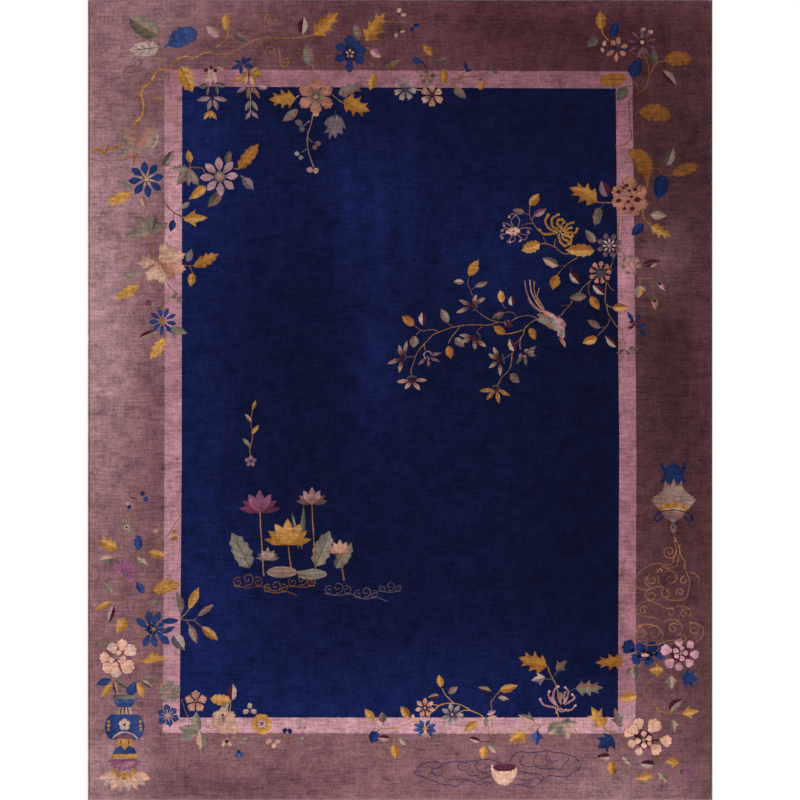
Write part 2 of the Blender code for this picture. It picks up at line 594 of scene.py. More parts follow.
draw(spot, """
dye middle radius tall turn
wine -193.5,329.5 1.9 1.2 20
wine -188.6,331.6 1.7 1.2 90
wine -184.5,329 1.7 1.3 150
slate -101,277 3 1.3 160
slate -98,271 2.6 1.3 100
rose -82,256 2.6 1.2
rose -85,252 2.4
mist -103,246 2.2 1.2
sage -99,242 2.2
blush -90,230 2.8 1.2 160
cream -84,229 2.6 1.1 60
cream -1,389 2 1.3 60
cream 3.5,384.5 2 1.4 10
cream -4,364 1.8 1.5 80
cream 2.5,368 1.4 1.6 10
wine -1,385 1.4
wine -1,369 1.4
deep_blue 16.5,374 2 1.7
deep_blue 12,370 2 1.2 80
""")
draw(flower, """
kind middle reach petals turn width dye tip_dye eye eye_size start ring ring_size rib
lobed -84,303 18.4 6 90 11.4 coral salmon none 0 0.2 none 0 moss
spear -84,303 9.6 6 60 3 moss sage coral 2.6 0.1
""")
petal("round", (-84, 290), (-84, 283), 5.6, "salmon", "peach")
next_motif()
spot("ink", (-50, 346), 8)
for angle, reach, width in places("92,19,11 146,17,11 205,17,11 268,20,9 326,17,11 14,17,10 52,16,10"):
    petal("torn", polar(-50, 346, angle, 2), polar(-50, 346, angle, reach), width, "deep_blue", "royal")
draw(flower, """
kind middle reach petals turn width dye tip_dye eye eye_size start
spear -50,346 7.4 8 20 2 wine maroon wine 2.8 0.1
round -50,346 4.4 5 90 2.2 cream ivory none 0 0.3
""")
print("patches so far", len(patches))

# %% [markdown]
# ## Down the left side
#
# The spray goes on down the border beside the field. Its leaves cross from the mauve
# border over the pink band into the blue, which is what ties the three together.

# %% Left side
draw_stems("""
dye width end_width places
buff 1.8 1.4 -217,230 -208,232 -200,232 -197,231 -194,225
buff 1.4 1.2 -210,232 -209,238
bark 1.7 1.4 -235,196 -230,191 -224,186 -215,182
tendril 1.2 1 -236,212 -236,196 -237,186 -241,181
tendril 1 0.8 -234,222 -226,223 -220,221
lilac 1 0.8 -226,187 -218,191
slate 1 0.8 -226,188 -226,179
tendril 1.6 1.4 -248,168 -249,155 -248,146 -240,139
ochre 1.4 1.4 -217,134 -206,134
buff 1.2 1.2 -210,134 -207,127
buff 1.3 1.2 -166,231 -160,231
gold 1.2 1.2 -265,205 -270,205
tendril 1.2 1.2 -252,120 -261,114
rose 1.1 0.9 -233,118 -228,111 -220,104 -217,99
sage 1 0.8 -159,224 -155,221
""")
draw(leaf, """
kind base tip width left_dye right_dye bend vein
ragged -262,250 -281,270 13 bone rust -0.05
ragged -262,249 -246,276 17 rust bone -0.12
blade -250,249 -242,266 5 ivory bone -0.2
ragged -262,249 -284,239 12 rust bone -0.05
blade -261,247 -266,235 5 rust buff
ragged -236,233 -226,249 9 moss bone
fern -211,231 -229,231 9 bone sage
ragged -212,230 -223,214 9 rose sage
blade -212,230 -211,213 5 mist rose
ragged -212,230 -201,214 9 bone sage
oval -209,237 -212,250 7 gold straw
oval -267,212 -283,217 5.6 bone sage
toothed -268,206 -294,196 13 straw yellow 0 gold
oval -258,203 -254,191 7 rose cream
ragged -161,231 -141,256 12.5 amber amber 0 gold
oval -173,236 -170,249 7 moss rose
oval -157,222 -146,210 9.5 lilac slate
broad -194,213 -211,200 9 straw gold
broad -179,207 -192,192 10 rose moss
ragged -249,168 -263,184 9.6 bone sage
ragged -248,169 -245,186 9 sage lichen
ragged -247,168 -232,177 8.6 sage bone
ragged -249,168 -273,165 11 bone sage
oval -218,191 -210,198 5.4 mist sage
oval -226,180 -229,168 7 royal deep_blue
ivy -216,181 -192,182 17 gold straw
oval -212,138 -208,151 7 sage lilac
toothed -206,133 -181,146 14 gold amber 0 gold
oval -207,127 -209,113 8 gold straw
oval -258,125 -277,125 8.5 bone mist
toothed -260,114 -285,101 13 straw yellow 0 gold
oval -232,71 -212,67 8.5 sage mist
oval -243,69 -261,62 6.5 bone wine
toothed -234,62 -250,40 12 straw yellow 0 gold
""")
next_motif()
heart = (-241, 137)
for tip, width, dye, tip_dye in rows("""
tip width dye tip_dye
-262,137 13 peach cream
-232,158 12 peach cream
-222,153 9 cream peach
-214,146 14 cream peach
-213,130 13 salmon peach
-225,121 13 salmon coral
-237,116 12 peach cream
-252,119 14 peach cream
"""):
    petal("torn", between(heart, tip, 0.08), tip, width, dye, tip_dye)
    stem("rust", 0.9, 0.5, heart, between(heart, tip, 0.5))
spot("rust", (-241, 138), 1.8)
draw(flower, """
kind middle reach petals turn width dye tip_dye eye eye_size start ring ring_size rib
spear -253.4,220.6 18.4 8 8 7.6 royal royal none 0 0.3 ink 6.2
spear -253.4,220.6 8.2 8 30 2.2 cream ivory peach 1.8 0.1
spear -180,223 19.5 8 3 8 blush pale_mauve rust 3.4 0.3 sage 6.2 slate
spear -237,79 14.8 9 26 4.6 royal azure buff 2.8 0.26
""")
draw(spot, """
dye middle radius tall turn
magenta -251,97 3 1.3 170
mist -246,95 2.2 1.5 80
sage -225,104 2.2 1.4 60
mist -221,101 2 1.3 120
""")
stem("bark", 2.4, 1.4, (-236, 99), (-238, 94), (-240, 90))
stem("tendril", 1.2, 1.0, (-234, 70), (-235, 62))
print("patches so far", len(patches))

# %% [markdown]
# ## Top centre and top right
#
# A light trail of small blossoms lies over the top band, and a second spray starts in
# the top right corner.

# %% Top centre and top right
draw_stems("""
dye width end_width places
ink 1.4 1 21,338 25,334 27,328
buff 1 0.8 32,345 31,337 29,330
straw 1.4 1.2 15,310 22,309
buff 1.1 0.8 49,313 55,316 60,322 65,328
buff 1.1 0.8 60,322 70,323 80,323 89,328
buff 0.9 0.7 57,318 64,325
tendril 1.2 1.2 201,371 203,365 208,359
deep_blue 1.2 1 206,351 216,350 228,350
buff 1.4 1.2 230,270 229,285 229,297 233,303 240,307 246,313 248,322 248,333 246,342 243,345
bark 1.2 0.8 246,341 238,343 233,347 229,350
buff 1.2 0.9 250,325 252,330 254,334 258,337 264,339
bark 1.2 0.8 233,318 237,314 238,308 237,303
moss 0.9 0.7 226,313 232,314 237,313
buff 1.4 1 230,272 231,262 226,257 222,254 215,254
bark 1.2 1 237,287 233,285
moss 0.9 0.7 36,339 30,341
""")
draw(leaf, """
kind base tip width left_dye right_dye bend
oval 21,338 11,340 6.4 royal royal
oval 32,344 23,355 8 gold amber
oval 47,341 35,337 5.4 moss rose
oval 44,316 44,331 8.4 gold amber
blade 64,337 66,328 3.6 deep_blue deep_blue 0.1
blade 65,328 72,330 3.2 deep_blue deep_blue
blade 90,329 90,336 3 moss lichen
blade 92,329 98,326 3.6 moss lichen
ivy 79,310 85,319 9 gold amber
oval 54,312 66,301 9 rose lichen
oval 201,370 200,389 10.5 gold amber
broad 211,363 218,379 8.4 deep_blue deep_blue
oval 198,361 186,353 9 lichen moss
oval 255,336 252,351 8 moss lichen
wavy 263,339 291.5,341 15 honey honey 0.03
oval 231.5,322 239,342 13 deep_blue deep_blue
oval 262,329 276,314 9 bone wine
wavy 227,321 199,319 13 amber amber
oval 226,312 217,299 12 lichen moss
wavy 238,287.5 271,283 18 honey honey 0.05
""")
draw(spot, """
dye middle radius tall turn
lichen 27,328.5 2.2
lichen 21,323.5 2.3
lichen 33,323.5 2.3
lichen 23,318 2.3 1.1
lichen 30,318 2.3
buff 27,323 3
moss 80,319.5 1.4
cream 204,356 2 1.5 80
cream 202,349.5 1.8 1.5 110
bone 243,370 1.9 1.3 20
cream 250,367.5 1.7 1.3
""")
draw(flower, """
kind middle reach petals turn width dye tip_dye eye eye_size start ring ring_size rib
notched 5,310 11.4 7 95 5.6 slate ivory slate 1.6 0.2 none 0 slate
notched 32,304 11.4 6 270 6.4 salmon peach wine 1.4 0.2 none 0 wine
""")
next_motif()
for angle, reach in places("127,10 81,12 17,11 -42,11 -96,14 -146,13"):
    petal("spear", polar(217, 351, angle, 4), polar(217, 351, angle, reach), 5, "salmon")
stem("deep_blue", 2.4, 1.2, (212, 351), (218, 350), (228, 350))
spot("maroon", (215, 351), 2.2)
draw(flower, """
kind middle reach petals turn width dye tip_dye eye eye_size start ring ring_size
spear 242,357 15 9 15 2.4 magenta mallow cream 2 0.3 maroon 4
""")
draw(leaf, """
kind base tip width left_dye right_dye
oval 242,361 243,369 5 lichen moss
oval 242,353 243,345 5 moss lichen
""")
print("patches so far", len(patches))

# %% [markdown]
# ## Down the right side
#
# The same spray turns down the pink band, opens a large spotted peony on it and throws
# its finest branch into the field: chrysanthemums, star flowers and drooping lilies.

# %% Right side leaves and stems
draw_stems("""
dye width end_width places
buff 1 0.9 253,232 259,230 263,225 268,224 274,225
amber 2.6 2 247,223 247,214 245,207
amber 2.2 1.6 242,200 242,190 243,182 248,177 251,174
buff 1.3 0.9 220,189 218,176 218,163 218,152 222,147 226,141
buff 1 0.8 222,190 222,177
tendril 1.3 1.2 194,198 202,197 211,197
slate 0.9 0.7 204,197 200,191
moss 0.9 0.7 217,165 211,160
tendril 0.9 0.9 217,150 213,140 211,134 207,129
buff 0.7 0.6 211,134 212,129
tendril 1 0.9 191,120 184,114 178,106
buff 0.9 0.8 190,119 188,112 190,102
tendril 1.2 1 206,118 205,108 205,98 208,94 213,92
tendril 1.1 0.9 206,95 208,86 212,80 217,73 223,72 231,73
tendril 1 0.8 209,82 208,76 203,70 197,64
buff 0.7 0.6 207,117 211,111 214,109
slate 1 0.8 199,72 206,73
tendril 1.2 1 237,122 245,121 252,122
tendril 1.1 0.9 240,121 239,113
bark 1.4 1.2 252,119 252,110 254,102
buff 0.8 0.7 222,70 223,61 226,55
tendril 1 0.9 172,100 170,95 165,90 161,85 156,83
buff 0.7 0.5 170,95 161,94
tendril 0.9 0.8 177,142 170,138 163,132 157,125
slate 0.9 0.7 164,134 157,134
tendril 0.9 1 139,156 146,156 154,153 158,150 164,146 171,147
tendril 0.8 0.8 154,153 155,161
tendril 0.8 0.7 146,156 143,163
tendril 0.9 0.9 130,195 129,187 131,180 134,175 138,169
buff 0.6 0.6 124,187 130,184
lilac 0.9 0.8 134,185 132,180
buff 0.7 0.6 134,176 127,176 121,174
buff 0.7 0.6 102,98 104,93 106,91
buff 0.7 0.6 103,87 109,88 113,87 117,82
tendril 0.8 0.8 76,90 82,85 88,81 93,79 98,78 105,77
tendril 0.9 0.8 111,79 117,82 123,84 130,84 137,82
gold 1 0.9 105,66 113,67 120,69 123,70
tendril 1 0.9 137,81 130,77 125,72 123,66 120,60 120,50
tendril 0.8 0.7 119,60 115,56
tendril 1.1 0.9 98,78 90,75 80,75 70,75 60,74 50,72 40,68 33,65 28,60 24,56 19,50 16,45 14,38 11,30 \
    12,23
tendril 0.9 0.8 39,68 34,70 28,70 22,69 16,73 13,75
lilac 0.9 0.8 21,70 16,65
gold 1 0.9 24,56 25,50
buff 0.8 0.8 16,44 12,43 7,43
buff 0.7 0.7 54,73 48,76
tendril 0.8 0.8 60,73 55,67 51,62 48,56
buff 0.7 0.6 82,73 78,70 77,66
buff 0.8 0.8 73,103 71,108 68,115 69,125
slate 0.8 0.7 71,110 75,113
tendril 0.9 0.9 112,47 111,38 109,30 102,23 97,14
buff 0.7 0.7 112,47 108,44 103,41
buff 0.7 0.6 114,51 112,46
""")
patch(places("""246.8,216 243.5,222 238.5,227 234.5,234 231,241 227.5,249 233,250.6 240,250.8 244,248
             247.5,245 250,241 252.4,237 252.7,229.4 250,223.3"""),
      "honey", "amber", ((250, 222), (234, 250)))
stem("ochre", 0.9, 0.6, (247, 220), (243, 232), (234, 246))
draw(leaf, """
kind base tip width left_dye right_dye bend
ragged 266,234 273,252 10.5 moss bone
ragged 272,226 299,235 13 ochre honey
broad 263,224 257,199 15 deep_blue deep_blue
fern 197,198 169,212 21 amber gold -0.06
oval 207,203 201,219 11 lilac wine
ragged 199,192 195,174 10 lichen rose
oval 250,185 266,184 9 mist cream
oval 243,176 231,164 9.5 deep_blue royal
fern 250,174 271,163 13 gold straw
oval 195,157 185,170 8 rose mist
ragged 194,149 165,150 13 straw amber
blade 241,134 260,139 7 wine wine 0.02
blade 250,133 257,136 3 cream cream
oval 240,114 237,102 9 straw mist
blade 239,114 246,109 3 mist cream
blade 257,119 265,109 5 mallow shell
blade 253,120 259,116 3 moss slate
oval 254,102 255,90 6.5 coral salmon
oval 212,92 228,93 8.6 ochre straw
oval 216,53 205,64 7.4 ivory wine
oval 197,62 182,57 9 straw amber
oval 200,72 187,80 7 rose lichen
oval 190,103 199,90 9 amber gold
oval 193,115 204,105 7.6 wine ivory
oval 186,104 169,102 8.4 rose moss
oval 170,127 179,116 8.4 wine ivory
blade 171,134 171,126 2 wine wine
oval 157,125 152,110 10 gold amber
oval 158,134 142,142 9 cream lichen
ragged 140,156 121,149 12 straw gold
oval 130,194 139,206 9 straw amber
oval 124,187 112,190 6 lichen rose
oval 134,184 146,191 7 magenta bone
oval 102,97 100,110 7 straw gold
oval 112,94 111,104 7 ivory wine
oval 104,87 91,81 6 moss rose
oval 105,66 93,74 8 gold amber
oval 130,72 135,60 7.6 amber gold
oval 114,49 109,61 7.6 cream wine
oval 110,26 119,17 8 lichen rose
oval 48,54 51,41 8 amber gold
oval 55,62 64,53 8 mist rose
oval 48,77 41,91 8 rose mist
oval 23,75 22,88 8 ivory wine
oval 14,75 2,84 9 gold amber
oval 15,64 13,52 9 mist rose
oval 69,124 78,140 10 gold gold
blade 64,118 53,118 5.4 rose ivory
blade 75,113 88,118 5.4 rose mist
""")
draw(spot, """
dye middle radius tall turn
maroon 254,99 1.6 1.2 90
moss 254,102 1.8 1.3
maroon 259,116 1.4 1.3 120
rose 107,77 3.2 1.2 120
wine 109,75 3 1.3 120
wine 106,79 1.6 1.2 60
""")
print("patches so far", len(patches))

# %% [markdown]
# The chrysanthemums are the liveliest drawing on the rug: claw petals that hook up and
# inwards, each one a curved ribbon. Lilies hang as single spears round a dark heart.

# %% Right side flowers
def claws(dye, width, table):
    """A chrysanthemum: thick curved petals of nearly even width, a row of places for each one."""
    next_motif()
    for claw in rows(table):
        stem(dye, width, width * 0.9, *claw)
        spot(dye, claw[-1], width * 0.62)


claws("gold", 2.4, """
places
157,167 149,165.5 143,166 139,170
157,168 149,171 145,178 148,185
158,170 152,174 152,181 158,185
160,172 157,176 158,180 162,180
162,170 161,174 164,178
163,169 167,175 173,177
164,168 168,171 171,172
164,166 169,167 175,167 177,171
163,165 169,163 172,164
158,165 160,158 165,154 169,157
162,164 163,161 167,159
167,165 171,161 170,156
""")
draw(flower, """
kind middle reach petals turn width dye tip_dye eye eye_size start
round 160,168 4 6 10 1.5 straw cream straw 1.1 0.4
""")
claws("lilac", 1.15, """
places
115,170 119,176 118,183 112,186 109,183
114,171 111,179 115,184
113,171 109,175 103,177 104,173
112,169 106,172 102,169
112,167 105,166 100,164 102,161
113,166 110,161 107,158 110,157
116,166 121,161 119,158
117,168 124,165 129,166 128,169
117,170 124,172 131,171
116,166 124,160 127,163
114,166 115,160 112,158
""")
for middle in places("109,183 104,174 102,169 102,162 110,158 120,159 128,168"):
    spot("blush", middle, 1.3)
for middle in places("107.5,168 111,170 115,170.5 118,169 111,166.5 115,166.5"):
    spot("peach", middle, 2.1)
claws("blush", 1.9, """
places
157,-305 153,-298 154,-290 158,-286
163,-303 167,-297 168,-291 165,-287
156,-305 150,-299 148,-294 149,-291
156,-307 149,-306 143,-304 140,-299
164,-304 170,-301 174,-297 172,-294
159,-307 164,-310 171,-309 175,-305
157,-307 161,-311 166,-309
155,-304 153,-300 151,-297
161,-304 159,-298 160,-293
165,-302 164,-296 165,-292
""")
for middle in places("158,-286 165,-287 149,-291 140,-299 172,-294 175,-305"):
    spot("shell", middle, 1.3)
spot("rose_grey", (160, -296), 3, 1.5, 90)
next_motif()
heart = (228, 204)
spot("wine", heart, 11)
for tip, width in rows("""
tip width
229,223 15
212,210 13
212,195 11
219,185 12
236,184 13
247,193 11
246,210 14
"""):
    petal("lobed", between(heart, tip, 0.2), tip, width, "coral", "salmon")
for angle in (62, 112, 165, 208, 250, 292, 342, 22):
    stem("maroon", 0.9, 0.6, polar(*heart, angle, 7), polar(*heart, angle, 15))
draw(spot, """
dye middle radius tall turn
coral 228,204 8
bone 223,204 2.2 1.6 100
wine 226,214 1.8 1.3 20
wine 218,208 1.7 1.3 20
wine 229,209 1.5 1.3 20
wine 235,210 1.7 1.3 20
wine 231,203 1.4 1.3 20
wine 237,200 2.6 1.3 20
wine 228,198 1.8 1.3 20
wine 218,199 2.1 1.3 20
wine 224,191 1.7 1.3 20
wine 232,191 2 1.3 20
""")
draw(flower, """
kind middle reach petals turn width dye tip_dye eye eye_size start
lobed 209,154 12.5 8 20 5 wine lilac none 0 0.4
spear 209,154 7.6 8 0 2 ivory ivory salmon 2 0.3
drop 200,127 11.4 9 85 4.8 coral salmon none 0 0.36
spear 200,127 5.6 9 62 1.6 slate slate moss 1.2 0.1
round 231,135 10 7 40 5 peach lichen peach 2.6 0.5
spear 231,135 6 7 15 2.2 salmon shell none 0 0.2
""")
draw(lily, """
heart heart_size dye tip_dye bases_and_tips
99,40 2.6 maroon cream 98,44 93,53 97,41 88,46 97,38 89,32 101,35 100,24
74,62 3 wine cream 69,64.5 59,65 69,60 61,58 74,60 75,50 78,59 86,53
73,94 3.2 wine cream 68,95 59,100 67,91 56,87 73,97 76,105 77,98 85,102
2.5,42 2.8 wine cream -1,41 -12,36 1,45 -1,55 4,46 7,59 1,38 -1,27
12,19 3.4 rust cream 6,20.5 -3,18 10,18 5,11 14,17 20,10 18,20.5 27,20
96,11 1.6 straw amber 92,10 79,9 94,9 86,0 97,8 99,-4 99,10 110,4
27,43 1.4 rose lilac 32,46 41,47 32,42 40,38 28,40 29,33 24,40 18,35
234,75 1.6 deep_blue royal 234,78 227,88 236,78 240,86 237,74 248,75 239,72 247,62
233,75 1.4 wine maroon 232,77 229,79 234,74 228,71
123,45 1.2 cream rose 129,47 135,49 120,48 119,42 125,50 128,51 122,42 127,43
124,46 1 mist moss 128,50 137,54 130,46 136,44 120,41 116,36 125,41 126,34
225,51 0.8 mist moss 222,49 216,46 226,49 229,45 231,52 239,50 230,54 236,52
""")
draw_stems("""
dye width end_width places
moss 2.2 1.2 76,67 79,66 80,61
moss 1.8 1 76,97 76,91 72,89
moss 2.2 1.2 102,46 103,41 104,36
moss 2 1 5,47 6,42 4,39
moss 2.4 1.4 7,22 12,24 17,22
moss 2.4 1.4 92,14 96,14 100,11
ivory 1.3 0.9 25,41 24,46 28,49 32,46
ivory 1.2 0.8 29,40 27,44
cream 1.1 0.8 219,54 222,57 224,52
cream 1.1 0.8 228,56 225,51 231,54
""")
print("patches so far", len(patches))

# %% [markdown]
# ## The bird in the spray
#
# One small bird hovers over the branch with its head down: five thin tail plumes, a
# folded wing drawn as overlapping feathers, a round head and an open beak.

# %% Bird
next_motif()
for dye, width, *plume in rows("""
dye width places
blush 1.5 142,88 133,95 127,106 124.5,119
peach 1.4 143,89 136,98 131,109 129.5,120
gold 1.4 143,89 138,98 134,109 134,119
blush 1.3 144,90 141,96 137,104 139,112
rose 1.2 141,87 133,93 129,99 127,105
"""):
    stem(dye, width, 0.9, *plume)
draw(petal, """
kind base tip width dye tip_dye
spear 160,78 141,90 6 blush salmon
spear 161,76 146,88 5 peach blush
spear 157,76 136,86 7 sage rose_grey
spear 157,75 135,81 6 mist sage
spear 157,74 144,76 5 gold amber
spear 156,77 147,83 4.4 mist slate
""")
draw(spot, """
dye middle radius tall turn
mist 155,74 4.2 1.4 130
rose_grey 151,73 2.2 1.6 160
blush 160,77 4.2 1.4 120
lilac 163,75 3 1.2 90
blush 161,69 3.8 1.3 90
blush 161,65 3.8
sage 162,67 2.6 1.2 60
deep_blue 160,63.5 1.6 1.2
ivory 160,63.5 0.6
""")
petal("spear", (162, 62), (165, 52), 3.2, "coral", "salmon")
petal("spear", (159, 62), (163, 55), 2.2, "amber", "coral")
for share in (0.2, 0.5, 0.8):
    stem("slate", 0.7, 0.5, (153 - 9 * share, 76 + 4 * share), (150 - 9 * share, 82 + 4 * share))
print("patches so far", len(patches))

# %% [markdown]
# ## The bottom left spray and the footed vase
#
# Below, more blossoms climb the left border out of a vase that stands on a lotus foot.
# The vase is built up as a potter would describe it: tiers, each one a band with its
# own half width at the top and at the bottom.

# %% Bottom left leaves and stems
draw_stems("""
dye width end_width places
tendril 1.3 1.1 -259,-72 -262,-85 -262,-95 -264,-105 -267,-112 -267,-120
tendril 1 0.8 -262,-100 -257,-96
wine 1.4 1.4 -269,-97 -263,-99
tendril 1.2 1 -275,-135 -276,-145 -277,-155
tendril 1.1 0.9 -271,-158 -262,-153 -251,-152
tendril 1.1 0.9 -244,-148 -240,-142 -234,-137 -231,-134 -225,-124 -218,-115
tendril 1.1 0.9 -256,-193 -252,-190 -246,-189
tendril 1.3 1.1 -278,-172 -280,-185 -277,-197 -273,-200
tendril 1.2 1 -286,-201 -275,-200 -267,-203 -260,-210 -258,-218
tendril 1.1 0.9 -256,-193 -258,-200 -259,-210
tendril 1.1 1 -219,-218 -214,-213 -210,-208
tendril 1.1 1 -219,-219 -212,-220 -206,-220 -202,-223 -198,-226
lilac 0.9 0.8 -206,-220 -203,-217
lilac 0.9 0.8 -213,-221 -210,-225
bark 2 1.6 -258,-230 -262,-240 -265,-246
gold 1.6 1.4 -266,-260 -258,-260
bark 1.6 1.2 -269,-271 -272,-278
bark 1.3 1.1 -218,-298 -215,-309 -211,-317 -205,-322
gold 1.2 1 -193,-327 -187,-328
slate 1 0.8 -240,-223 -233,-230
""")
draw(leaf, """
kind base tip width left_dye right_dye bend vein
oval -261,-150 -262,-134 9 azure royal
fern -282,-149 -302,-139 15 gold straw
oval -286,-158 -302,-160 7.5 sage cream
oval -264,-157 -251,-166 7.5 cream sage
oval -251,-152 -234,-156 9.5 straw gold
ragged -246,-191 -219,-184 14 gold gold 0.06 straw
oval -256,-193 -263,-181 7.5 royal azure
blade -286,-195 -296,-182 5.5 sage mist
oval -252,-200 -236,-200 7.5 rose sage
blade -288,-201 -305,-210 5.5 gold straw
blade -286,-205 -291,-222 7 wine ivory
broad -274,-218 -283,-234 11 gold straw
blade -219,-214 -224,-192 7 sage rose -0.12
blade -211,-209 -201,-187 8.5 gold straw
blade -202,-216 -186,-204 6 rust lilac
blade -198,-226 -182,-240 8.5 straw amber
blade -210,-224 -203,-243 7.5 rose mist
blade -221,-220 -239,-221 6 royal royal
blade -237,-233 -225,-226 5 royal royal
broad -226,-235 -215,-250 12 ivory slate
oval -284,-241 -305,-243 8.5 sage rose
oval -257,-277 -240,-277 5 sage rose
blade -288,-279 -303,-284 7.4 azure royal
blade -287,-282 -298,-297 8 gold straw
blade -286,-281 -282,-295 4 ivory wine
blade -284,-279 -271,-288 5 sage moss
broad -272,-294 -260,-280 9.4 azure royal
blade -262,-281 -256,-298 7 gold straw
blade -259,-279 -246,-288 4.5 ivory moss
""")
print("patches so far", len(patches))

# %% Bottom left flowers
draw(spot, """
dye middle radius tall turn
royal -257,-93.5 2.4
royal -254,-99 2.4 1.2 60
cream -272,-103 1.6 1.2
deep_blue -270.5,-107 1.8 1.3 40
cream -244,-131 2.2 1.2 20
rose -238,-130 1.8 1.3
rose -244,-136 1.8 1.2
gold -225,-131 2 1.4
gold -225,-138 2.2 1.4 30
""")
draw(flower, """
kind middle reach petals turn width dye tip_dye eye eye_size start
round -273,-127 8 5 90 5 mist sage cream 2.6 0.3
""")
spot("ink", (-273, -127), 1.2)
next_motif()
heart = (-274, -174)
for tip in places("-284,-173 -287.5,-168 -287,-163 -283,-159.5 -278,-157 -273,-156 -268,-158 -264,-161 "
                  "-261,-165.5 -261,-171 -262,-177 -264,-182 -267,-186 -272,-183"):
    petal("torn", between(heart, tip, 0.14), tip, 4.6, "mallow")
    stem("magenta", 0.8, 0.6, heart, between(heart, tip, 0.7))
spot("slate", heart, 2.2)
next_motif()
for base, tip, width in rows("""
base tip width
-250,-224 -251.5,-210 8
-246,-224 -239,-211 7
-253,-227 -263.5,-218 7.5
-250,-234 -256,-247 7.5
-247,-234 -244,-247 7.5
-241,-234 -230,-244 8
-242,-226 -234,-222 4.5
-242,-229 -233,-230 4.5
-247,-223 -244,-216 4
-243,-232 -236,-236 4.5
-248,-228 -255,-230 4.5
"""):
    petal("spear", base, tip, width, "royal", "azure")
    stem("ink", 0.7, 0.5, base, between(base, tip, 0.5))
spot("ink", (-247, -229), 5.6)
patch(places("""-259,-260 -252,-256.5 -247,-250.5 -245,-254 -240.5,-251.5 -241.5,-255.5 -236,-256.5
             -230.5,-258.7 -240,-261 -246,-262 -252,-264"""), "gold", "straw", ((-259, -258), (-231, -258)))
draw(flower, """
kind middle reach petals turn width dye tip_dye eye eye_size start
spear -246,-229 5.4 6 15 2.4 sky azure gold 1.9 0.2
""")
rosette((-282, -259), "dusk", 12, """
middle radius dye tip_dye
-286.9,-247.5 5.2 petal ivory
-277,-244.7 5.4 peach petal
-269.2,-250.3 6.2 petal ivory
-294.5,-257.2 5.2 peach petal
-291,-266.7 5.8 peach petal
-283.8,-271.5 5.4 petal ivory
-272.6,-265.7 7 peach petal
-281.3,-252.6 2.6 peach petal
-287.8,-259.4 2.8 peach petal
-279.7,-259.4 2.7 petal peach
-284,-264 2.6 petal peach
-276.2,-257.8 2.6 peach petal
""")
spot("sage", (-283.4, -256), 2.2, 1.2, 70)
draw(flower, """
kind middle reach petals turn width dye tip_dye eye eye_size start ring ring_size rib
round -230,-291 11 5 90 9 sage mist gold 1.4 0.2 none 0 bone
""")
spot("gold", (-237, -284), 1.5)
draw(flower, """
kind middle reach petals turn width dye tip_dye eye eye_size start ring ring_size rib
tipped -231.5,-315 11.4 6 100 7.4 royal azure cream 1.2 0.14 none 0 cream
tipped -204,-301 11.4 5 90 8.4 salmon peach buff 1.7 0.16
""")
print("patches so far", len(patches))

# %% Vase on a lotus foot
VASE_X = -275


def tier(dye, top_y, top_half, bottom_y, bottom_half, end_dye=None, bulge=0.0):
    """One band of the vase between two heights, its sides bowed out by bulge knots."""
    ring = []
    for side in (1, -1):
        for share in (0, 0.06, 0.16, 0.3, 0.5, 0.7, 0.84, 0.94, 1):
            share = share if side > 0 else 1 - share
            half = top_half + (bottom_half - top_half) * share + bulge * (4 * share * (1 - share)) ** 0.7
            ring.append((VASE_X + side * half, top_y + (bottom_y - top_y) * share))
    patch(ring, dye, end_dye, ((VASE_X - top_half, top_y), (VASE_X + top_half, top_y)))


next_motif()
tier("moss", -294.5, 11, -299.5, 12, "sage")
tier("azure", -299, 12, -309, 5, "royal")
for side in (-1, 1):
    stem("sky", 1.6, 1.2, (VASE_X + side * 13, -298), (VASE_X + side * 6, -302), (VASE_X, -300))
tier("bone", -307, 7, -315, 9, "cream")
for x in (-278, -275, -272):
    stem("wine", 1.3, 0.7, (x, -307), (x + (x - VASE_X) * 0.5, -315))
tier("royal", -314, 13, -339, 13, "azure", 7)
for side in (-1, 1):
    for y, radius in ((-321, 1.5), (-325, 1.8), (-329, 1.5)):
        spot("gold", (VASE_X + side * 16, y), radius)
for angle in range(90, 450, 72):
    petal("round", (VASE_X, -324), polar(VASE_X, -324, angle, 6), 5, "cream", "ivory")
spot("wine", (-275, -324), 1.3)
tier("dusk", -334, 7, -340, 9)
stem("ivory", 1.6, 1.6, (-287, -338), (-281, -333), (-275, -331.5), (-268, -333), (-262, -338))
tier("azure", -343, 6, -354, 12, "royal", 1)
crown = places("-8.4,-347.5 -4,-344.5 0,-349.5 4,-344.5 8.4,-347.5 7.6,-338.6 -7.6,-338.6")
patch([(VASE_X + u, v) for u, v in crown], "straw", "gold", ((VASE_X, -338), (VASE_X, -348)))
for u in (-4.4, 4.4):
    stem("wine", 1.2, 0.7, (VASE_X + u, -339.5), (VASE_X + u * 0.8, -344))
tier("gold", -353.4, 12.6, -357.6, 13.6, "straw")
for angle in range(190, 370, 20):
    petal("torn", (VASE_X, -359), polar(VASE_X, -359, angle, 18, 12), 4.2, "magenta", "mallow")
    petal("spear", (VASE_X, -361), polar(VASE_X, -361, angle, 11, 7), 2.4, "mallow", "blush")
for u, v, tip_dye in rows("""
right up tip_dye
26 -378.5 petal
21 -385 ivory
13.5 -390 petal
4.6 -391 ivory
"""):
    for out in (-u, u):
        petal("spear", (VASE_X + 0.28 * out, -372), (VASE_X + out, v), 8.2, "peach", tip_dye)
        stem("rust", 0.8, 0.5, (VASE_X + 0.34 * out, -374), (VASE_X + 0.7 * out, (v - 374) / 2 - 1))
for u, v in places("-10,-371 -6,-374.4 0,-376.4 6,-374.4 10,-371"):
    spot("gold", (VASE_X + u, v), 2.5, 1.2, 90)
spot("straw", (VASE_X, -373.5), 3.2)
spot("amber", (VASE_X, -373.5), 1.3)
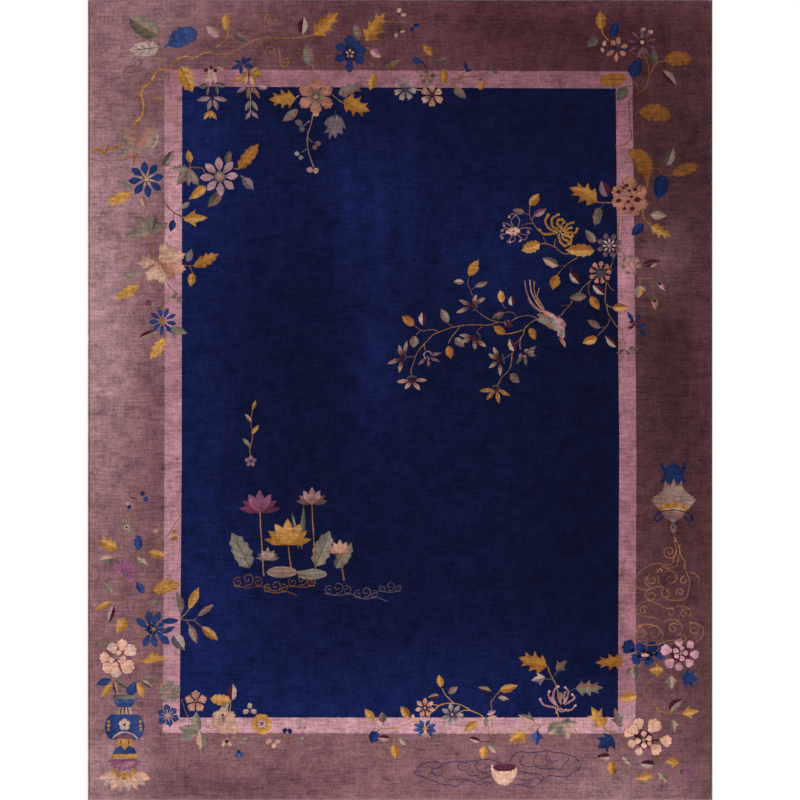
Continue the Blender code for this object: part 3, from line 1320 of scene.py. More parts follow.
print("vase done,", len(patches), "patches")

# %% [markdown]
# ## Along the bottom
#
# Small blossoms are strung along the lower band from the left corner to the right one,
# and under them two quiet cloud scrolls in thin blue line lie either side of a bowl.

# %% Bottom, left of the middle
draw_stems("""
dye width end_width places
bone 1.4 1.2 -169,-299 -169.5,-307 -171,-316
mist 1.2 1 -172,-332 -172.5,-340
mist 1.1 0.9 -162,-340 -161,-350
gold 1.2 1.2 -167,-336 -163,-337
wine 1 0.8 -150,-313 -152,-318
tendril 1.1 0.9 -129,-332 -122,-335 -115,-336 -108,-338 -102,-338
straw 1.3 1.1 -28,-320 -20,-327 -12,-328 0,-326 10,-323 15,-319 13,-315
moss 0.9 0.7 -17,-322 -15,-327
slate 1.2 1 -19,-329 -23,-331
straw 1.3 1.1 -1,-327 -4,-331 -6,-338 -6,-346
tendril 1 0.8 -5,-336 -11,-338
slate 0.8 0.7 -2,-330 0,-337
straw 1.2 1 24,-315 24,-321
straw 1.3 1.1 14,-320 22,-322
straw 1.4 1.2 30,-313 35,-309 39,-305 46,-303 54,-303 60,-304 66,-307 71,-310 78,-313 84,-317
straw 1.1 1 32,-304 39,-305
straw 1.3 1.1 54,-303 46,-295 42,-288
straw 1.1 0.9 71,-310 63,-310 58,-313
straw 1.2 1 83,-319 77,-321
buff 1.3 1.1 92,-310 91,-302 95,-296 100,-290
straw 1.1 0.9 87,-318 88,-326 90,-333 93,-336
straw 1 0.8 92,-318 92,-327 91,-333
tendril 0.9 0.8 90,-336 97,-340 105,-341 111,-340
plum_brown 0.9 0.8 80,-341 89,-341
tendril 0.9 0.8 92,-335 87,-340 84,-346
""")
draw(leaf, """
kind base tip width left_dye right_dye bend
ragged -169,-301 -190,-298 12 gold straw
oval -168,-300 -167,-283 9 wine ivory
oval -172,-302 -180,-314 7 cream sage
oval -200,-330 -203,-311 10 bone sage 0.12
oval -201,-331 -221,-327 10 sage mist
oval -202,-332 -221,-338 9 mist sage
oval -200,-331 -199,-352 11 sage peach 0.08
oval -26,-321 -35,-308 8 straw gold
oval -17,-322 -18,-311 8 rose moss
broad -23,-331 -29,-343 11 royal deep_blue
oval -10,-338 -23,-337 6.4 cream wine
oval -6,-344 -4,-358 10 amber straw
oval -1,-337 7,-345 5.4 sage cream
oval 9,-317 1,-306 8.6 straw amber
oval 41,-287 39,-274 7 straw gold
oval 48,-293 58,-286 6.4 rose mist
oval 39,-295 28,-297 5 wine bone
oval 91,-291 78,-287 6.4 wine bone
broad 100,-290 118,-285 8 straw amber
oval 98,-297 109,-299 5 cream mist
oval 87,-314 96,-310 4.6 lilac shell
oval 86,-317 86,-327 4.6 mist sage
oval 77,-321 64,-331 8 straw gold
oval 80,-341 68,-337 6 ivory wine
oval 84,-345 83,-360 8.4 gold straw
oval 89,-344 97,-353 6.6 sage cream
""")
draw(flower, """
kind middle reach petals turn width dye tip_dye eye eye_size start ring ring_size rib
lobed -176,-319 12.5 6 30 9.5 peach cream bone 2.2 0.2 none 0 salmon
""")
petal("lobed", (-170, -322), (-163, -333), 10, "cream", "peach")
petal("lobed", (-172, -321), (-176, -334), 9, "cream", "peach")
spot("ink", (-177, -314.5), 1.2)
draw(spot, """
dye middle radius tall turn
cream -176,-343 2.4 1.3 60
cream -170,-343 2.2 1.3 120
maroon -173,-341 1.6 1.2
sky -163,-354 2.4 1.3 60
sky -158.5,-353.5 2.2 1.3 120
deep_blue -161,-351 1.6 1.3
mist -156,-338 1.7 1.3 40
mist -153,-338.5 1.5 1.2 120
mist -158,-342 1.6 1.3 20
ivory -150,-305.5 2.4 1.3 90
ivory -154,-311 2.5 1.3 30
ivory -146,-311 2.5 1.3 150
wine -150,-309 1.5
slate -138,-323 1.8
deep_blue -115,-330 2.3 1.2 40
deep_blue -110,-330.5 2.2 1.2 120
peach -131,-341 2.4 1.3 20
peach -126,-345 2.4 1.2 60
cream -122,-341 2.3 1.2
mist -100,-327 1.6 1.4 20
mist -95,-327.5 1.5 1.3 150
sage -101,-341 1.8 1.3 30
mist -97.5,-338 1.6 1.3 80
peach 13,-316 1.7 1.5 110
cream 92,-317 2 2.4 10
mist 44,-323 1.4 1.9 120
sage 32,-339 1.3 2 40
mist 57,-323 1.5 1.8 60
""")
draw(flower, """
kind middle reach petals turn width dye tip_dye eye eye_size start
round -138,-323.5 10.4 8 20 7.4 gold straw slate 1.8 0.34
spear 25,-307.5 10.5 7 38 4.6 salmon peach wine 2 0.26
""")
spot("straw", (25, -307.5), 1.2)
next_motif()
for angle, reach in places("158,12 122,10.5 62,10 20,12 -14,12 -46,11 -132,11.5 190,12"):
    base = polar(25, -328, angle, 2)
    petal("spear", base, polar(25, -328, angle, reach), 4.3, "royal", "sky")
    stem("ink", 0.7, 0.5, base, polar(25, -328, angle, 0.6 * reach))
spot("gold", (25, -328), 2.2)
for tip in ((22, -335), (26, -337), (30, -337)):
    stem("peach", 1.3, 0.8, (25, -330), tip)
draw(flower, """
kind middle reach petals turn width dye tip_dye eye eye_size start ring ring_size rib
spear 52,-314 12 7 100 4.8 slate ivory peach 1.6 0.2 none 0 slate
""")
print("patches so far", len(patches))

# %% Cloud scrolls and bowl
SCROLL_WIDTH = 1.02


def scalloped(points, height, pitch=5.0):
    """A smooth line with small round bumps of the given height, one every pitch knots."""
    line = smooth(points, steps=6)
    bumped, gone = [], 0.0
    for before, here in zip(line[:1] + line, line):
        step = math.dist(before, here)
        gone += step
        up = height * (abs(math.sin(math.pi * gone / pitch)) - 0.6)
        dx, dy = (here[0] - before[0]) / (step or 1), (here[1] - before[1]) / (step or 1)
        bumped.append((here[0] - dy * up, here[1] + dx * up))
    return bumped[::2]


next_motif()
for line in rows("""
places
66,-362 60,-361 52,-361 46,-363 41,-363 36,-361 28,-362 21,-364 17,-369 15,-374 21,-375 26,-378 33,-380 \
    38,-382 44,-384 50,-384 56,-386 61,-382 65,-380 70,-380 74,-382 79,-384 85,-382 92,-383
41,-364 39,-367 33,-368 32,-372 36,-375 41,-375 45,-378 52,-379 58,-379 63,-378 69,-379
61,-362 58,-366 61,-370 66,-370 68,-374 73,-375 78,-375
66,-362 76,-360 86,-359 94,-360 99,-363 103,-365
77,-361 75,-365 78,-369 83,-372 89,-372 91,-368 88,-365 85,-368
76,-375 80,-378 86,-377 90,-375
108,-362 112,-357 116,-353 121,-351 127,-352 134,-352 142,-351 148,-350 154,-352 161,-352 167,-354 \
    174,-356 178,-360 180,-365 177,-370 172,-372 167,-376 158,-376 150,-375 145,-377 140,-382 134,-386 \
    126,-386 120,-384 115,-384
123,-354 121,-359 121,-364 128,-366 135,-366 142,-368 150,-368 158,-369 162,-368 163,-364 168,-360 \
    168,-356
137,-353 134,-358 134,-363 137,-366
148,-352 145,-356 147,-360 152,-361 158,-360
118,-370 125,-372 132,-373 139,-374 144,-377
118,-378 125,-380 132,-379 137,-377 142,-380
"""):
    stem("dusk_blue", SCROLL_WIDTH, SCROLL_WIDTH, *scalloped(line, 0.6))
next_motif()
BOWL_X = 103.8
patch([polar(BOWL_X, -368, angle, 13.2, 17) for angle in range(168, 373, 15)],
      "petal", "ivory", ((BOWL_X, -366), (BOWL_X, -400)))
spot("wine", (BOWL_X, -366.6), 4.0, 2.7, 0, "magenta")
for u in range(-8, 9, 2):
    stem("wine", 0.9, 0.5, (BOWL_X + u, -368), (BOWL_X + u, -371.2))
print("patches so far", len(patches))

# %% [markdown]
# ## The bottom right corner
#
# The richest corner after the first: a round cream peony over the turn of the band, a
# blue half blossom with a pink peony beside it, and ivy and oak leaves all about.

# %% Bottom right leaves and stems
draw_stems("""
dye width end_width places
gold 1.5 1.3 147,-266 150,-273 154,-281 157,-288 158,-297
straw 1.4 1.2 158,-305 157,-312 159,-319
straw 1.1 1 155,-306 156,-313
slate 0.8 0.7 154,-276 157,-270
slate 0.8 0.7 144,-278 151,-279
slate 0.8 0.7 165,-293 175,-288
straw 1.3 1.1 126,-331 132,-326 140,-324 150,-323 160,-323
mist 1.2 1 139,-324 134,-322 131,-319
slate 1.2 1 141,-325 136,-331
tendril 1.1 0.9 168,-331 174,-333 181,-338 188,-343 196,-346 203,-348
gold 1.1 0.9 175,-328 176,-332 178,-336
gold 1.3 1.1 202,-326 208,-331 216,-333 224,-333
mist 1.1 0.9 220,-326 221,-331
bark 1.2 1 216,-334 226,-332
tendril 1.1 0.9 229,-345 220,-349 214,-352 212,-358
tendril 1 0.8 213,-350 208,-347
tendril 1.3 1.1 254,-277 247,-283 243,-289 245,-297 252,-301 256,-306 259,-313 259,-321
tendril 1.2 1 256,-306 257,-314 255,-321
tendril 1.1 1 258,-309 264,-312 273,-313 283,-312
tendril 1.2 1 258,-354 258,-361 259,-368
tendril 1 0.8 246,-371 252,-370
bark 1.2 1 223,-261 230,-258
""")
draw(leaf, """
kind base tip width left_dye right_dye bend
fern 147,-266 118,-257 21 amber gold
ivy 156,-270 167,-260 13 rose moss
ivy 145,-277 131,-280 13 lilac ivory
fern 175,-288 203,-287 16 rose sage
ivy 134,-321 118,-314 14 cream sage
fern 125,-332 109,-341 16 gold straw
ivy 137,-330 136,-345 14 royal sky
ivy 160,-323 178,-322 12 sage cream
ragged 161,-323 147,-333 12 cream sage
ragged 162,-323 168,-339 9 cream mist
oval 158,-326 158,-336 6 sage mist
maple 203,-327 191,-306 17 straw gold
ivy 220,-327 214,-307 13 rose sage
maple 213,-337 197,-348 19 deep_blue royal
ragged 210,-356 196,-357 8 ivory wine
blade 197,-357 208,-363 3 rust rose
oval 211,-360 212,-376 9.6 amber straw
oval 222,-355 232,-366 7 sage cream
fern 224,-261 195,-262 16 amber amber
broad 236,-295 217,-299 10 straw gold
oval 232,-266 226,-276 5 bone rose
oval 233,-265 235,-281 8 moss mist
ivy 263,-270 248,-270 15 gold straw
ivy 270,-275 271,-289 14 cream sage
maple 282,-277 298,-279 19 royal royal
ragged 269,-311 283,-299 9 wine bone 0.1
ivy 282,-313 299,-310 13 gold straw
ivy 272,-319 274,-332 12 cream sage
ragged 254,-364 239,-363 9 ivory wine
ivy 252,-375 234,-378 13 straw gold
ivy 279,-362 264,-361 12 straw gold
ivy 258,-371 267,-382 11 sage cream
""")
print("patches so far", len(patches))

# %% Bottom right flowers
rosette((244.4, -254), "ink", 7, """
middle radius dye tip_dye
228.8,-246.8 6.6 deep_blue deep_blue
240.6,-247.2 5.6 deep_blue royal
252,-247 5.8 deep_blue deep_blue
262,-247 4 deep_blue royal
259,-254 5.2 deep_blue royal
236.6,-258.4 5.4 deep_blue royal
248.2,-260.2 5 deep_blue royal
""", "ink")
draw(spot, """
dye middle radius tall turn
ink 232,-249.6 1.9 1.3 30
ink 238.6,-255.6 1.7 1.3 30
ink 248,-257.8 1.6 1.3 30
ink 255.5,-253.4 1.8 1.3 30
ink 243.5,-250 1.5 1.3 30
peach 244.6,-254.6 1.9 2.2
""")
rosette((244, -339), "wine", 8.5, """
middle radius dye tip_dye
238,-323.2 5.4 peach petal
253.6,-325.6 6.9 petal peach
228.6,-332 5 petal peach
265.4,-340.2 5.5 peach petal
231.7,-343 4.1 petal peach
255.4,-348.6 5.5 peach petal
238.6,-350.8 3.8 petal ivory
233,-329 5 petal peach
243.4,-333.4 2.7 peach petal
248.6,-337.8 2.7 petal peach
237.7,-340.4 2.8 petal peach
243.6,-344.6 2.7 peach petal
249,-343 2.2 petal peach
""", "wine", 1.3)
rosette((280, -252), "wine", 9, """
middle radius dye tip_dye
265.9,-249.6 5.2 blush shell
278.6,-242.4 3.8 shell blush
289.5,-244.3 3.8 blush shell
294,-254 4.2 shell blush
288.6,-262.4 4.1 blush shell
278.4,-266 4 blush shell
269.4,-262.6 4.8 shell blush
275.4,-250.3 2.6 shell blush
281.4,-247.6 2.4 blush shell
285,-252.4 2.5 shell blush
281.6,-257.8 2.6 blush shell
276.3,-255.6 2.4 blush shell
""", "wine", 1.2)
draw(spot, """
dye middle radius tall turn end_dye
sage 243.6,-339.4 1.9 1.2 50
sage 280.6,-252.6 1.9 1.2 50
mallow 286,-372 3.6 1.3 60 magenta
moss 281,-371 1.9 1.2 90
""")
print("patches so far", len(patches))

# %% [markdown]
# ## The censer and its smoke
#
# In the right border an incense burner is drawn upside down, as if seen from the other
# end of the rug, with smoke that curls away in one thin line. Scrolls like these are a
# few spirals joined by easy curves.

# %% Censer
CENSER_X = 273


def mirrored(half):
    """The outline whose right half is given in knots right of the middle, from the top down."""
    half = places(half)
    return [(CENSER_X + u, v) for u, v in half] + [(CENSER_X - u, v) for u, v in half[-2:0:-1]]


next_motif()
patch(mirrored("0,-60.5 3.5,-64.5 8,-68 11,-61.5 13.5,-62.5 12.4,-68 9.6,-72 10,-76 13,-81 12,-83 "
               "8,-82 0,-83"), "deep_blue")
patch(mirrored("0,-78.5 3,-86 6,-84 8.4,-80 9,-86 12,-91 17,-95 20.5,-99 19.5,-104 14,-109 0,-110.5"),
      "rose_grey", "bone", ((CENSER_X - 15, -95), (CENSER_X + 18, -95)))
patch([polar(CENSER_X, -110, angle, 11.5, 11) for angle in range(180, 361, 20)],
      "rose_grey", "dusk", ((CENSER_X, -110), (CENSER_X, -121)))
for i in range(8):
    share = i / 3.5 - 1
    spot("gold" if i % 2 else "amber", (CENSER_X + 14 * share, -104.5 - 3 * share * share), 2.1)
stem("straw", 1.3, 1.3, (CENSER_X - 13, -110.5), (CENSER_X, -108.2), (CENSER_X + 13, -110.5))
stem("ink", 0.8, 0.8, (CENSER_X - 13, -112), (CENSER_X, -109.6), (CENSER_X + 13, -112))
for side in (-1, 1):
    stem("deep_blue", 1.8, 1.6, (CENSER_X + side * 13, -111), (CENSER_X + side * 19, -118),
         (CENSER_X + side * 15.5, -121), (CENSER_X + side * 10.5, -116))
    curl("bone", 0.9, (CENSER_X + side * 20.5, -99.5), 3.6, 90, side * 1.0)
spot("rose_grey", (CENSER_X, -120.5), 2.2)
spot("rose_grey", (CENSER_X, -128), 3.6, 1.5, 90, "slate")
spot("maroon", (CENSER_X - 0.5, -127), 1.1)
for u, v in places("3.2,-122.5 -3.4,-125 3.4,-131 -3,-132.5"):
    spot("maroon", (CENSER_X + u, v), 0.9)
print("censer done,", len(patches), "patches")

# %% Smoke
SMOKE_WIDTH = 0.9775
SMOKE_END_WIDTH = 0.8925
next_motif()
for line in rows("""
places
274,-137 277,-143 279,-150 278,-158 276,-165 268,-168 262,-166
276,-138 274,-142 276,-149 274,-155 272,-163 264,-165 258,-163 248,-166 240,-171 \
    236,-177
279,-145 280,-154 284,-161 286,-172 289,-180 288,-190 285,-198 278,-200 268,-199 \
    262,-196
284,-163 283,-170
289,-172 295,-174 299,-180 297,-187
236,-178 234,-184 240,-189 248,-189 256,-186 262,-187
246,-176 245,-183 250,-187
258,-175 258,-182 263,-187 268,-190
252,-200 244,-201 238,-205 236,-211
252,-201 258,-204 266,-208 274,-208
236,-213 243,-216 252,-217 260,-220
276,-206 284,-206 290,-210 289,-217
236,-226 246,-224 256,-226 262,-233 261,-240
262,-222 270,-219 278,-221 282,-228 278,-236
288,-222 296,-223 303,-228 302,-236 296,-241
236,-236 240,-242 250,-245 260,-243 268,-240 278,-240
"""):
    stem("smoke", SMOKE_WIDTH, SMOKE_END_WIDTH, *line)
draw(curl, """
dye width middle reach start turns
smoke 1 269,-151.5 7.4 20 -1.6
smoke 1 252,-179 5.6 120 1.1
smoke 1 260,-171 3 200 -1
smoke 1 270,-178 8.6 150 -1.2
smoke 1 284,-180 4.4 90 1.1
smoke 1 251,-195 7.4 60 1.4
smoke 1 266,-193 5.4 120 1.1
smoke 1 280,-192 4.4 200 -1
smoke 1 243,-210 4.6 30 1.2
smoke 1 270,-212 4.8 140 -1.1
smoke 1 284,-213 4.6 60 1.2
smoke 1 254,-232 7.6 140 -1.2
smoke 1 242,-232 6.6 100 1.2
smoke 1 273,-228 5.6 40 1.2
smoke 1 293,-229 6.6 130 -1.3
smoke 1 284,-238 4 80 1.1
""")
print("patches so far", len(patches))

# %% [markdown]
# ## The quiet corner of the field
#
# The lower left of the field holds one freer group: lotus flowers and leaves over low
# ruyi clouds. It is a stock pairing of the period, laid out here from plain petals and
# spirals. Left of it hangs a thin sprig.

# %% Lotus and clouds
def lotus(middle, reach, dye, tip_dye, outer_dye):
    """A lotus seen from the side: outer petals spread low, inner ones stand up."""
    next_motif()
    for angle, share, width in ((168, 1.0, 0.3), (12, 1.0, 0.3), (146, 0.98, 0.36), (34, 0.98, 0.36)):
        petal("spear", middle, polar(*middle, angle, reach * share), reach * width, outer_dye, dye)
    for angle, share in ((122, 1.0), (58, 1.0), (90, 1.06)):
        petal("spear", middle, polar(*middle, angle, reach * share), reach * 0.44, dye, tip_dye)


def lotus_pad(x, y, half, dye, edge_dye):
    """A floating leaf, seen at a slant, with ribs that run out from its middle."""
    next_motif()
    spot(edge_dye, (x, y), half * 0.36, 2.8)
    spot(dye, (x, y + 0.5), half * 0.28, 3.2)
    for u in (-0.7, -0.35, 0.0, 0.35, 0.7):
        stem(edge_dye, 1.0, 0.6, (x, y), (x + u * half, y + (0.24 if abs(u) < 0.5 else 0.1) * half))


def ruyi(dye, middle, reach, side):
    """A cloud head of three spirals on a trailing tail, which runs left if side is -1."""
    x, y = middle
    curl(dye, 0.9, (x, y + reach * 0.3), reach * 0.62, 250, 1.3)
    curl(dye, 0.9, (x - side * reach * 0.9, y), reach * 0.48, 60, 1.3 * side)
    curl(dye, 0.9, (x + side * reach * 0.9, y), reach * 0.48, 120, -1.3 * side)
    stem(dye, 1.0, 0.7, (x - side * reach * 1.3, y - reach * 0.3), (x, y - reach * 0.5),
         (x + side * reach * 1.2, y - reach * 0.36), (x + side * reach * 2.4, y - reach * 0.8))


draw(leaf, """
kind base tip width left_dye right_dye bend vein
ragged -150,-168 -168,-132 19 mist sage 0 moss
ragged -84,-166 -70,-130 18 sage mist 0 moss
ragged -64,-168 -48,-142 14 moss sage 0 mist
blade -98,-150 -96,-104 5 sage moss
blade -101,-150 -108,-112 4 moss mist
""")
for x, foot, y in ((-140, -176, -112), (-112, -176, -142), (-88, -176, -104), (-60, -180, -152)):
    next_motif()
    stem("tendril", 1.36, 1.105, (x + 4, foot), (x + 2, (foot + y) / 2), (x, y))
draw(lotus, """
middle reach dye tip_dye outer_dye
-140,-112 21 magenta mallow wine
-88,-104 16 rose blush wine
-112,-144 24 gold straw amber
-60,-153 13 salmon cream rose
-132,-160 12 rose_grey ivory slate
""")
lotus_pad(-118, -172, 16, "rose_grey", "bone")
lotus_pad(-88, -174, 15, "sage", "mist")
next_motif()
draw(ruyi, """
dye middle reach side
ochre -152,-182 11 1
ochre -124,-188 9 1
ochre -98,-182 10 -1
slate -62,-190 10 1
slate -34,-194 9 1
slate -10,-188 8 -1
""")
draw_stems("""
dye width end_width places
tendril 1.1 0.9 -148,-64 -150,-50 -147,-36 -149,-22 -147,-8
tendril 0.9 0.7 -149,-48 -154,-44
tendril 0.9 0.7 -148,-30 -143,-26
""")
draw(leaf, """
kind base tip width left_dye right_dye
blade -150,-46 -157,-38 4 sage mist
blade -148,-34 -141,-25 4 gold straw
blade -148,-22 -155,-14 4 rose cream
blade -147,-10 -144,0 3.6 straw gold
""")
for angle in range(90, 450, 72):
    spot("lilac", polar(-149, -61, angle, 3.6), 2, 1.2, angle)
spot("wine", (-149, -61), 1.3)
print("patches in all", len(patches))

# %% [markdown]
# ## Border, band and field
#
# Under the drawing lie three plain grounds: the mauve border, the pink band and the
# blue field. Hand-dyed wool is never even. Each new batch of yarn came out a little
# different, so the grounds hold soft clouds of a second dye. The broadest clouds are
# painted sheen as well: they make the left side lighter and the right side and the top
# right darker, as a pile that leans one way does under the light. The reaches of a cloud
# say how far it spreads across and along the rug, and the strength how much it takes over.

# %% Grounds and their clouds
BAND_EDGE = places("-235,330 0,329 232,328 235.5,0 236,-50 235,-333 0,-333 -237,-332 -235,-60")
FIELD_EDGE = places("-217.5,313 0,312 215.5,311 218.5,0 219,-40 217.6,-317 0,-317 -220,-317 -218,-60")
BORDER, BAND, FIELD = 0, 1, 2
GROUND_NAMES = ("border", "band", "field")
GROUND_DYES = ("mauve", "pink", "navy")
# Clouds of a second dye, partly painted sheen: pale on the left, dark on the right and top right.
DYE_AND_SHEEN_CLOUDS = rows("""
ground middle reaches dye strength
border -300,90 34,190 pale_mauve 0.75
border -262,235 30,50 pale_mauve 0.5
border -250,385 60,26 pale_mauve 0.3
border -290,-370 45,50 pale_mauve 0.6
border -242,-60 20,300 plum_brown 0.22
border -265,-130 50,60 plum_brown 0.12
border 210,420 215,240 maroon 0.95
border 100,400 60,70 maroon 0.7
border 300,60 150,330 plum_brown 0.93
border 290,250 60,60 plum_brown 0.35
border 262,140 38,40 mauve 0.4
border -50,400 105,90 maroon 0.6
border -60,338 150,44 maroon 0.42
border 230,396 150,16 dusk 0.3
border 304,50 20,90 dusk 0.35
border -256,290 34,80 plum_brown 0.26
border -266,342 26,18 pale_mauve 0.4
border -180,350 60,26 plum_brown 0.2
border 320,-320 40,90 plum_brown 0.4
border 275,-170 60,130 maroon 0.5
border 215,-385 60,26 pale_mauve 0.34
border -190,-388 90,20 plum_brown 0.38
border -100,-375 40,30 plum_brown 0.2
band 0,-326 700,24 shell 1
band -227,-150 20,230 shell 0.55
band -227,190 20,90 shell 0.75
band -20,320 250,16 dusk 0.4
band 200,320 90,60 dusk 0.75
band 227,130 20,40 shell 0.2
field -205,20 40,300 cobalt 0.36
field -190,-225 50,110 cobalt 0.6
field -50,200 13,70 cobalt 0.5
field -20,180 9,60 cobalt 0.5
field 12,205 12,70 cobalt 0.4
field -215,250 50,110 cobalt 0.6
field -115,215 34,70 ink 0.4
field 25,220 28,70 ink 0.45
field -22,40 22,80 cobalt 0.45
field -60,210 110,70 cobalt 0.34
field 120,140 80,60 cobalt 0.42
field 0,-308 400,30 cobalt 0.65
field -110,-255 60,60 cobalt 0.2
field 80,-270 170,40 cobalt 0.35
field 190,-60 70,330 ink 0.8
field 120,290 130,50 ink 0.5
field -90,120 26,220 ink 0.35
""")
EDGE_STEP = 2.5


def line_through(corners, step):
    """A closed line through corners, cut into pieces about step knots long."""
    line = []
    for here, there in zip(corners, corners[1:] + corners[:1]):
        pieces = max(1, round(math.dist(here, there) / step))
        line += [between(here, there, i / pieces) for i in range(pieces)]
    return line


def rim(inset):
    """The outline of the pile, inset metres in from its edge."""
    x, y = pile_half_x - inset / KNOT, pile_half_y - inset / KNOT
    return line_through([(-x, -y), (x, -y), (x, y), (-x, y)], EDGE_STEP)


field_width = 2 * FIELD_EDGE[3][0] * KNOT
band_width = (BAND_EDGE[3][0] - FIELD_EDGE[3][0]) * KNOT
print("field is", round(field_width, 2), "m wide inside a band", round(band_width * 100, 1), "cm wide")

# %% [markdown]
# ## Cutting one sheet of pile along the drawing
#
# All outlines now go through a constrained Delaunay cut. It makes one continuous sheet
# of triangles in which every outline is an edge, and tells which patches cover each
# triangle, so the last one drawn gives the yarn. The other way would be to lay each
# motif on top as its own thin object, but real pile is one surface and its colours
# only meet. A loose lattice of extra points lets the plain grounds swell a little. Both
# kinds of chance here have a fixed seed, so that every run weaves the same rug.

# %% The sheet in two dimensions
LATTICE = 4.6
LATTICE_MARGIN = 1.6
LATTICE_SEED = 5
WANDER_SEED = 8
GROUND_WANDER = 0.12
MOTIF_WANDER = 0.36
RIM_HEIGHTS = rows("""
metres_in_from_the_edge height_of_the_pile
0 0.0088
0.0014 0.012
0.0038 0.0136
""")
noise.seed_set(WANDER_SEED)


def wander(x, y, amount):
    """The place moved by the small unevenness of handwork."""
    drift = noise.noise_vector((x * 0.31, y * 0.31, 4.0)) + noise.noise_vector((x * 1.1, y * 1.1, 8.0))
    return (x + amount * drift.x, y + amount * drift.y)


outlines = [rim(0.0), line_through(BAND_EDGE, EDGE_STEP), line_through(FIELD_EDGE, EDGE_STEP)]
outlines += [outline for outline, *_ in patches]
outlines = [[wander(x, y, MOTIF_WANDER if number > FIELD else GROUND_WANDER) for x, y in outline]
            for number, outline in enumerate(outlines)]
corners, edges = [], []
for ring in outlines + [rim(inset) for inset, _ in RIM_HEIGHTS[1:]]:
    first = len(corners)
    corners += [Vector(p) for p in ring]
    edges += [(first + i, first + (i + 1) % len(ring)) for i in range(len(ring))]
random.seed(LATTICE_SEED)
for row in range(int(2 * pile_half_y / LATTICE)):
    for column in range(int(2 * pile_half_x / LATTICE)):
        x = -pile_half_x + (column + 0.5 + random.uniform(-0.25, 0.25)) * LATTICE
        y = -pile_half_y + (row + 0.5 + random.uniform(-0.25, 0.25)) * LATTICE
        if abs(x) < pile_half_x - LATTICE_MARGIN and abs(y) < pile_half_y - LATTICE_MARGIN:
            corners.append(Vector((x, y)))
cut_points, _, cut_faces, _, _, _ = delaunay_2d_cdt(corners, edges, [], 0, 1e-4, False)
chart = np.array([(p.x, p.y) for p in cut_points])
triangles = np.array(cut_faces)
print(len(corners), "points in,", len(triangles), "triangles out")


# %% Which patch is on top of each triangle
def inside(points, ring):
    """Whether each point lies inside a closed line, by how often the line winds round it."""
    x, y = points[:, :1], points[:, 1:]
    (x0, y0), (x1, y1) = np.array(ring).T, np.roll(ring, -1, axis=0).T
    left = (x1 - x0) * (y - y0) - (x - x0) * (y1 - y0)
    rising = (y0 <= y) & (y1 > y) & (left > 0)
    falling = (y0 > y) & (y1 <= y) & (left < 0)
    return rising.sum(1) != falling.sum(1)


middles = chart[triangles].mean(1)
by_height = np.argsort(middles[:, 1])
heights = middles[by_height, 1]
top_patch = np.full(len(triangles), -1)
for number, ring in enumerate(outlines):
    low, high = np.min(ring, axis=0), np.max(ring, axis=0)
    near = by_height[np.searchsorted(heights, low[1]):np.searchsorted(heights, high[1])]
    near = near[(middles[near, 0] >= low[0]) & (middles[near, 0] <= high[0])]
    for part in np.array_split(near, len(near) // 5000 + 1):
        top_patch[part[inside(middles[part], ring)]] = number
triangles = triangles[top_patch >= 0]
top_patch = top_patch[top_patch >= 0]
print(len(triangles), "triangles inside the rug,", len(np.unique(top_patch)), "patches seen")

# %% [markdown]
# ## The height of the pile
#
# Once woven, such a rug is sheared, and the weaver then runs scissors round the motifs.
# That leaves a shallow groove at every outline and a slight dome inside each motif.
# Here each point of the sheet looks at the motifs round it: a mixed company makes a
# groove, one motif all round makes a dome.

# %% Grooves, domes and the rounded rim
motif_of = np.array([0, 0, 0] + [number for *_, number in patches])


def lowest_and_highest(numbers):
    """The lowest and the highest of the triangles' numbers round each point."""
    lowest = np.full(len(chart), numbers.max() + 1)
    highest = np.zeros(len(chart), int)
    for corner in range(3):
        np.minimum.at(lowest, triangles[:, corner], numbers)
        np.maximum.at(highest, triangles[:, corner], numbers)
    return lowest, highest


lowest_motif, highest_motif = lowest_and_highest(motif_of[top_patch])
lowest_patch, highest_patch = lowest_and_highest(top_patch)
GROOVE, DOME, BLEND = -0.00035, 0.0005, 0.0002
BROAD_SWELL, FINE_SWELL = 0.0003, 0.00012
relief = np.where(lowest_motif != highest_motif, GROOVE, np.where(highest_motif > 0, DOME, 0.0))
relief = np.where((lowest_motif == highest_motif) & (lowest_patch != highest_patch), BLEND, relief)
swell = np.array([
    BROAD_SWELL * noise.noise((x * 0.02, y * 0.02, 9.0)) + FINE_SWELL * noise.noise((x * 0.3, y * 0.3, 2.0))
    for x, y in chart])
to_edge = np.minimum(pile_half_x - np.abs(chart[:, 0]), pile_half_y - np.abs(chart[:, 1])) * KNOT
rim_height = np.interp(to_edge, [inset for inset, _ in RIM_HEIGHTS] + [0.009],
                       [height for _, height in RIM_HEIGHTS] + [PILE_TOP + 0.002])
height = np.minimum(PILE_TOP + relief + swell, rim_height)
print("pile from", round(height.min() * 1000, 1), "to", round(height.max() * 1000, 1), "mm high")

# %% [markdown]
# ## The colour of every corner
#
# Colour is kept at the corners of triangles and not at points, so that two yarns meet
# at a sharp line. A patch that fades reads how far along its run each corner lies. The
# grounds mix in their clouds. Towards a groove the yarn of a motif gets a painted shade,
# and the figures carry painted light: lighter in some places and darker in others, as
# the light fell across the rug. A row of painted light says where, and how much lighter,
# or darker if it is below 0.

# %% Dye at each corner
def ground_colour(ground, x, y):
    """Linear colours of a ground at chart places x, y."""
    colour = np.tile(LINEAR[GROUND_DYES[ground]], (len(x), 1))
    for cloud_ground, (cx, cy), (reach_x, reach_y), dye, strength in DYE_AND_SHEEN_CLOUDS:
        if cloud_ground == GROUND_NAMES[ground]:
            share = strength * np.exp(-((x - cx) / reach_x) ** 2 - ((y - cy) / reach_y) ** 2)
            colour += share[:, None] * (np.array(LINEAR[dye]) - colour)
    return colour


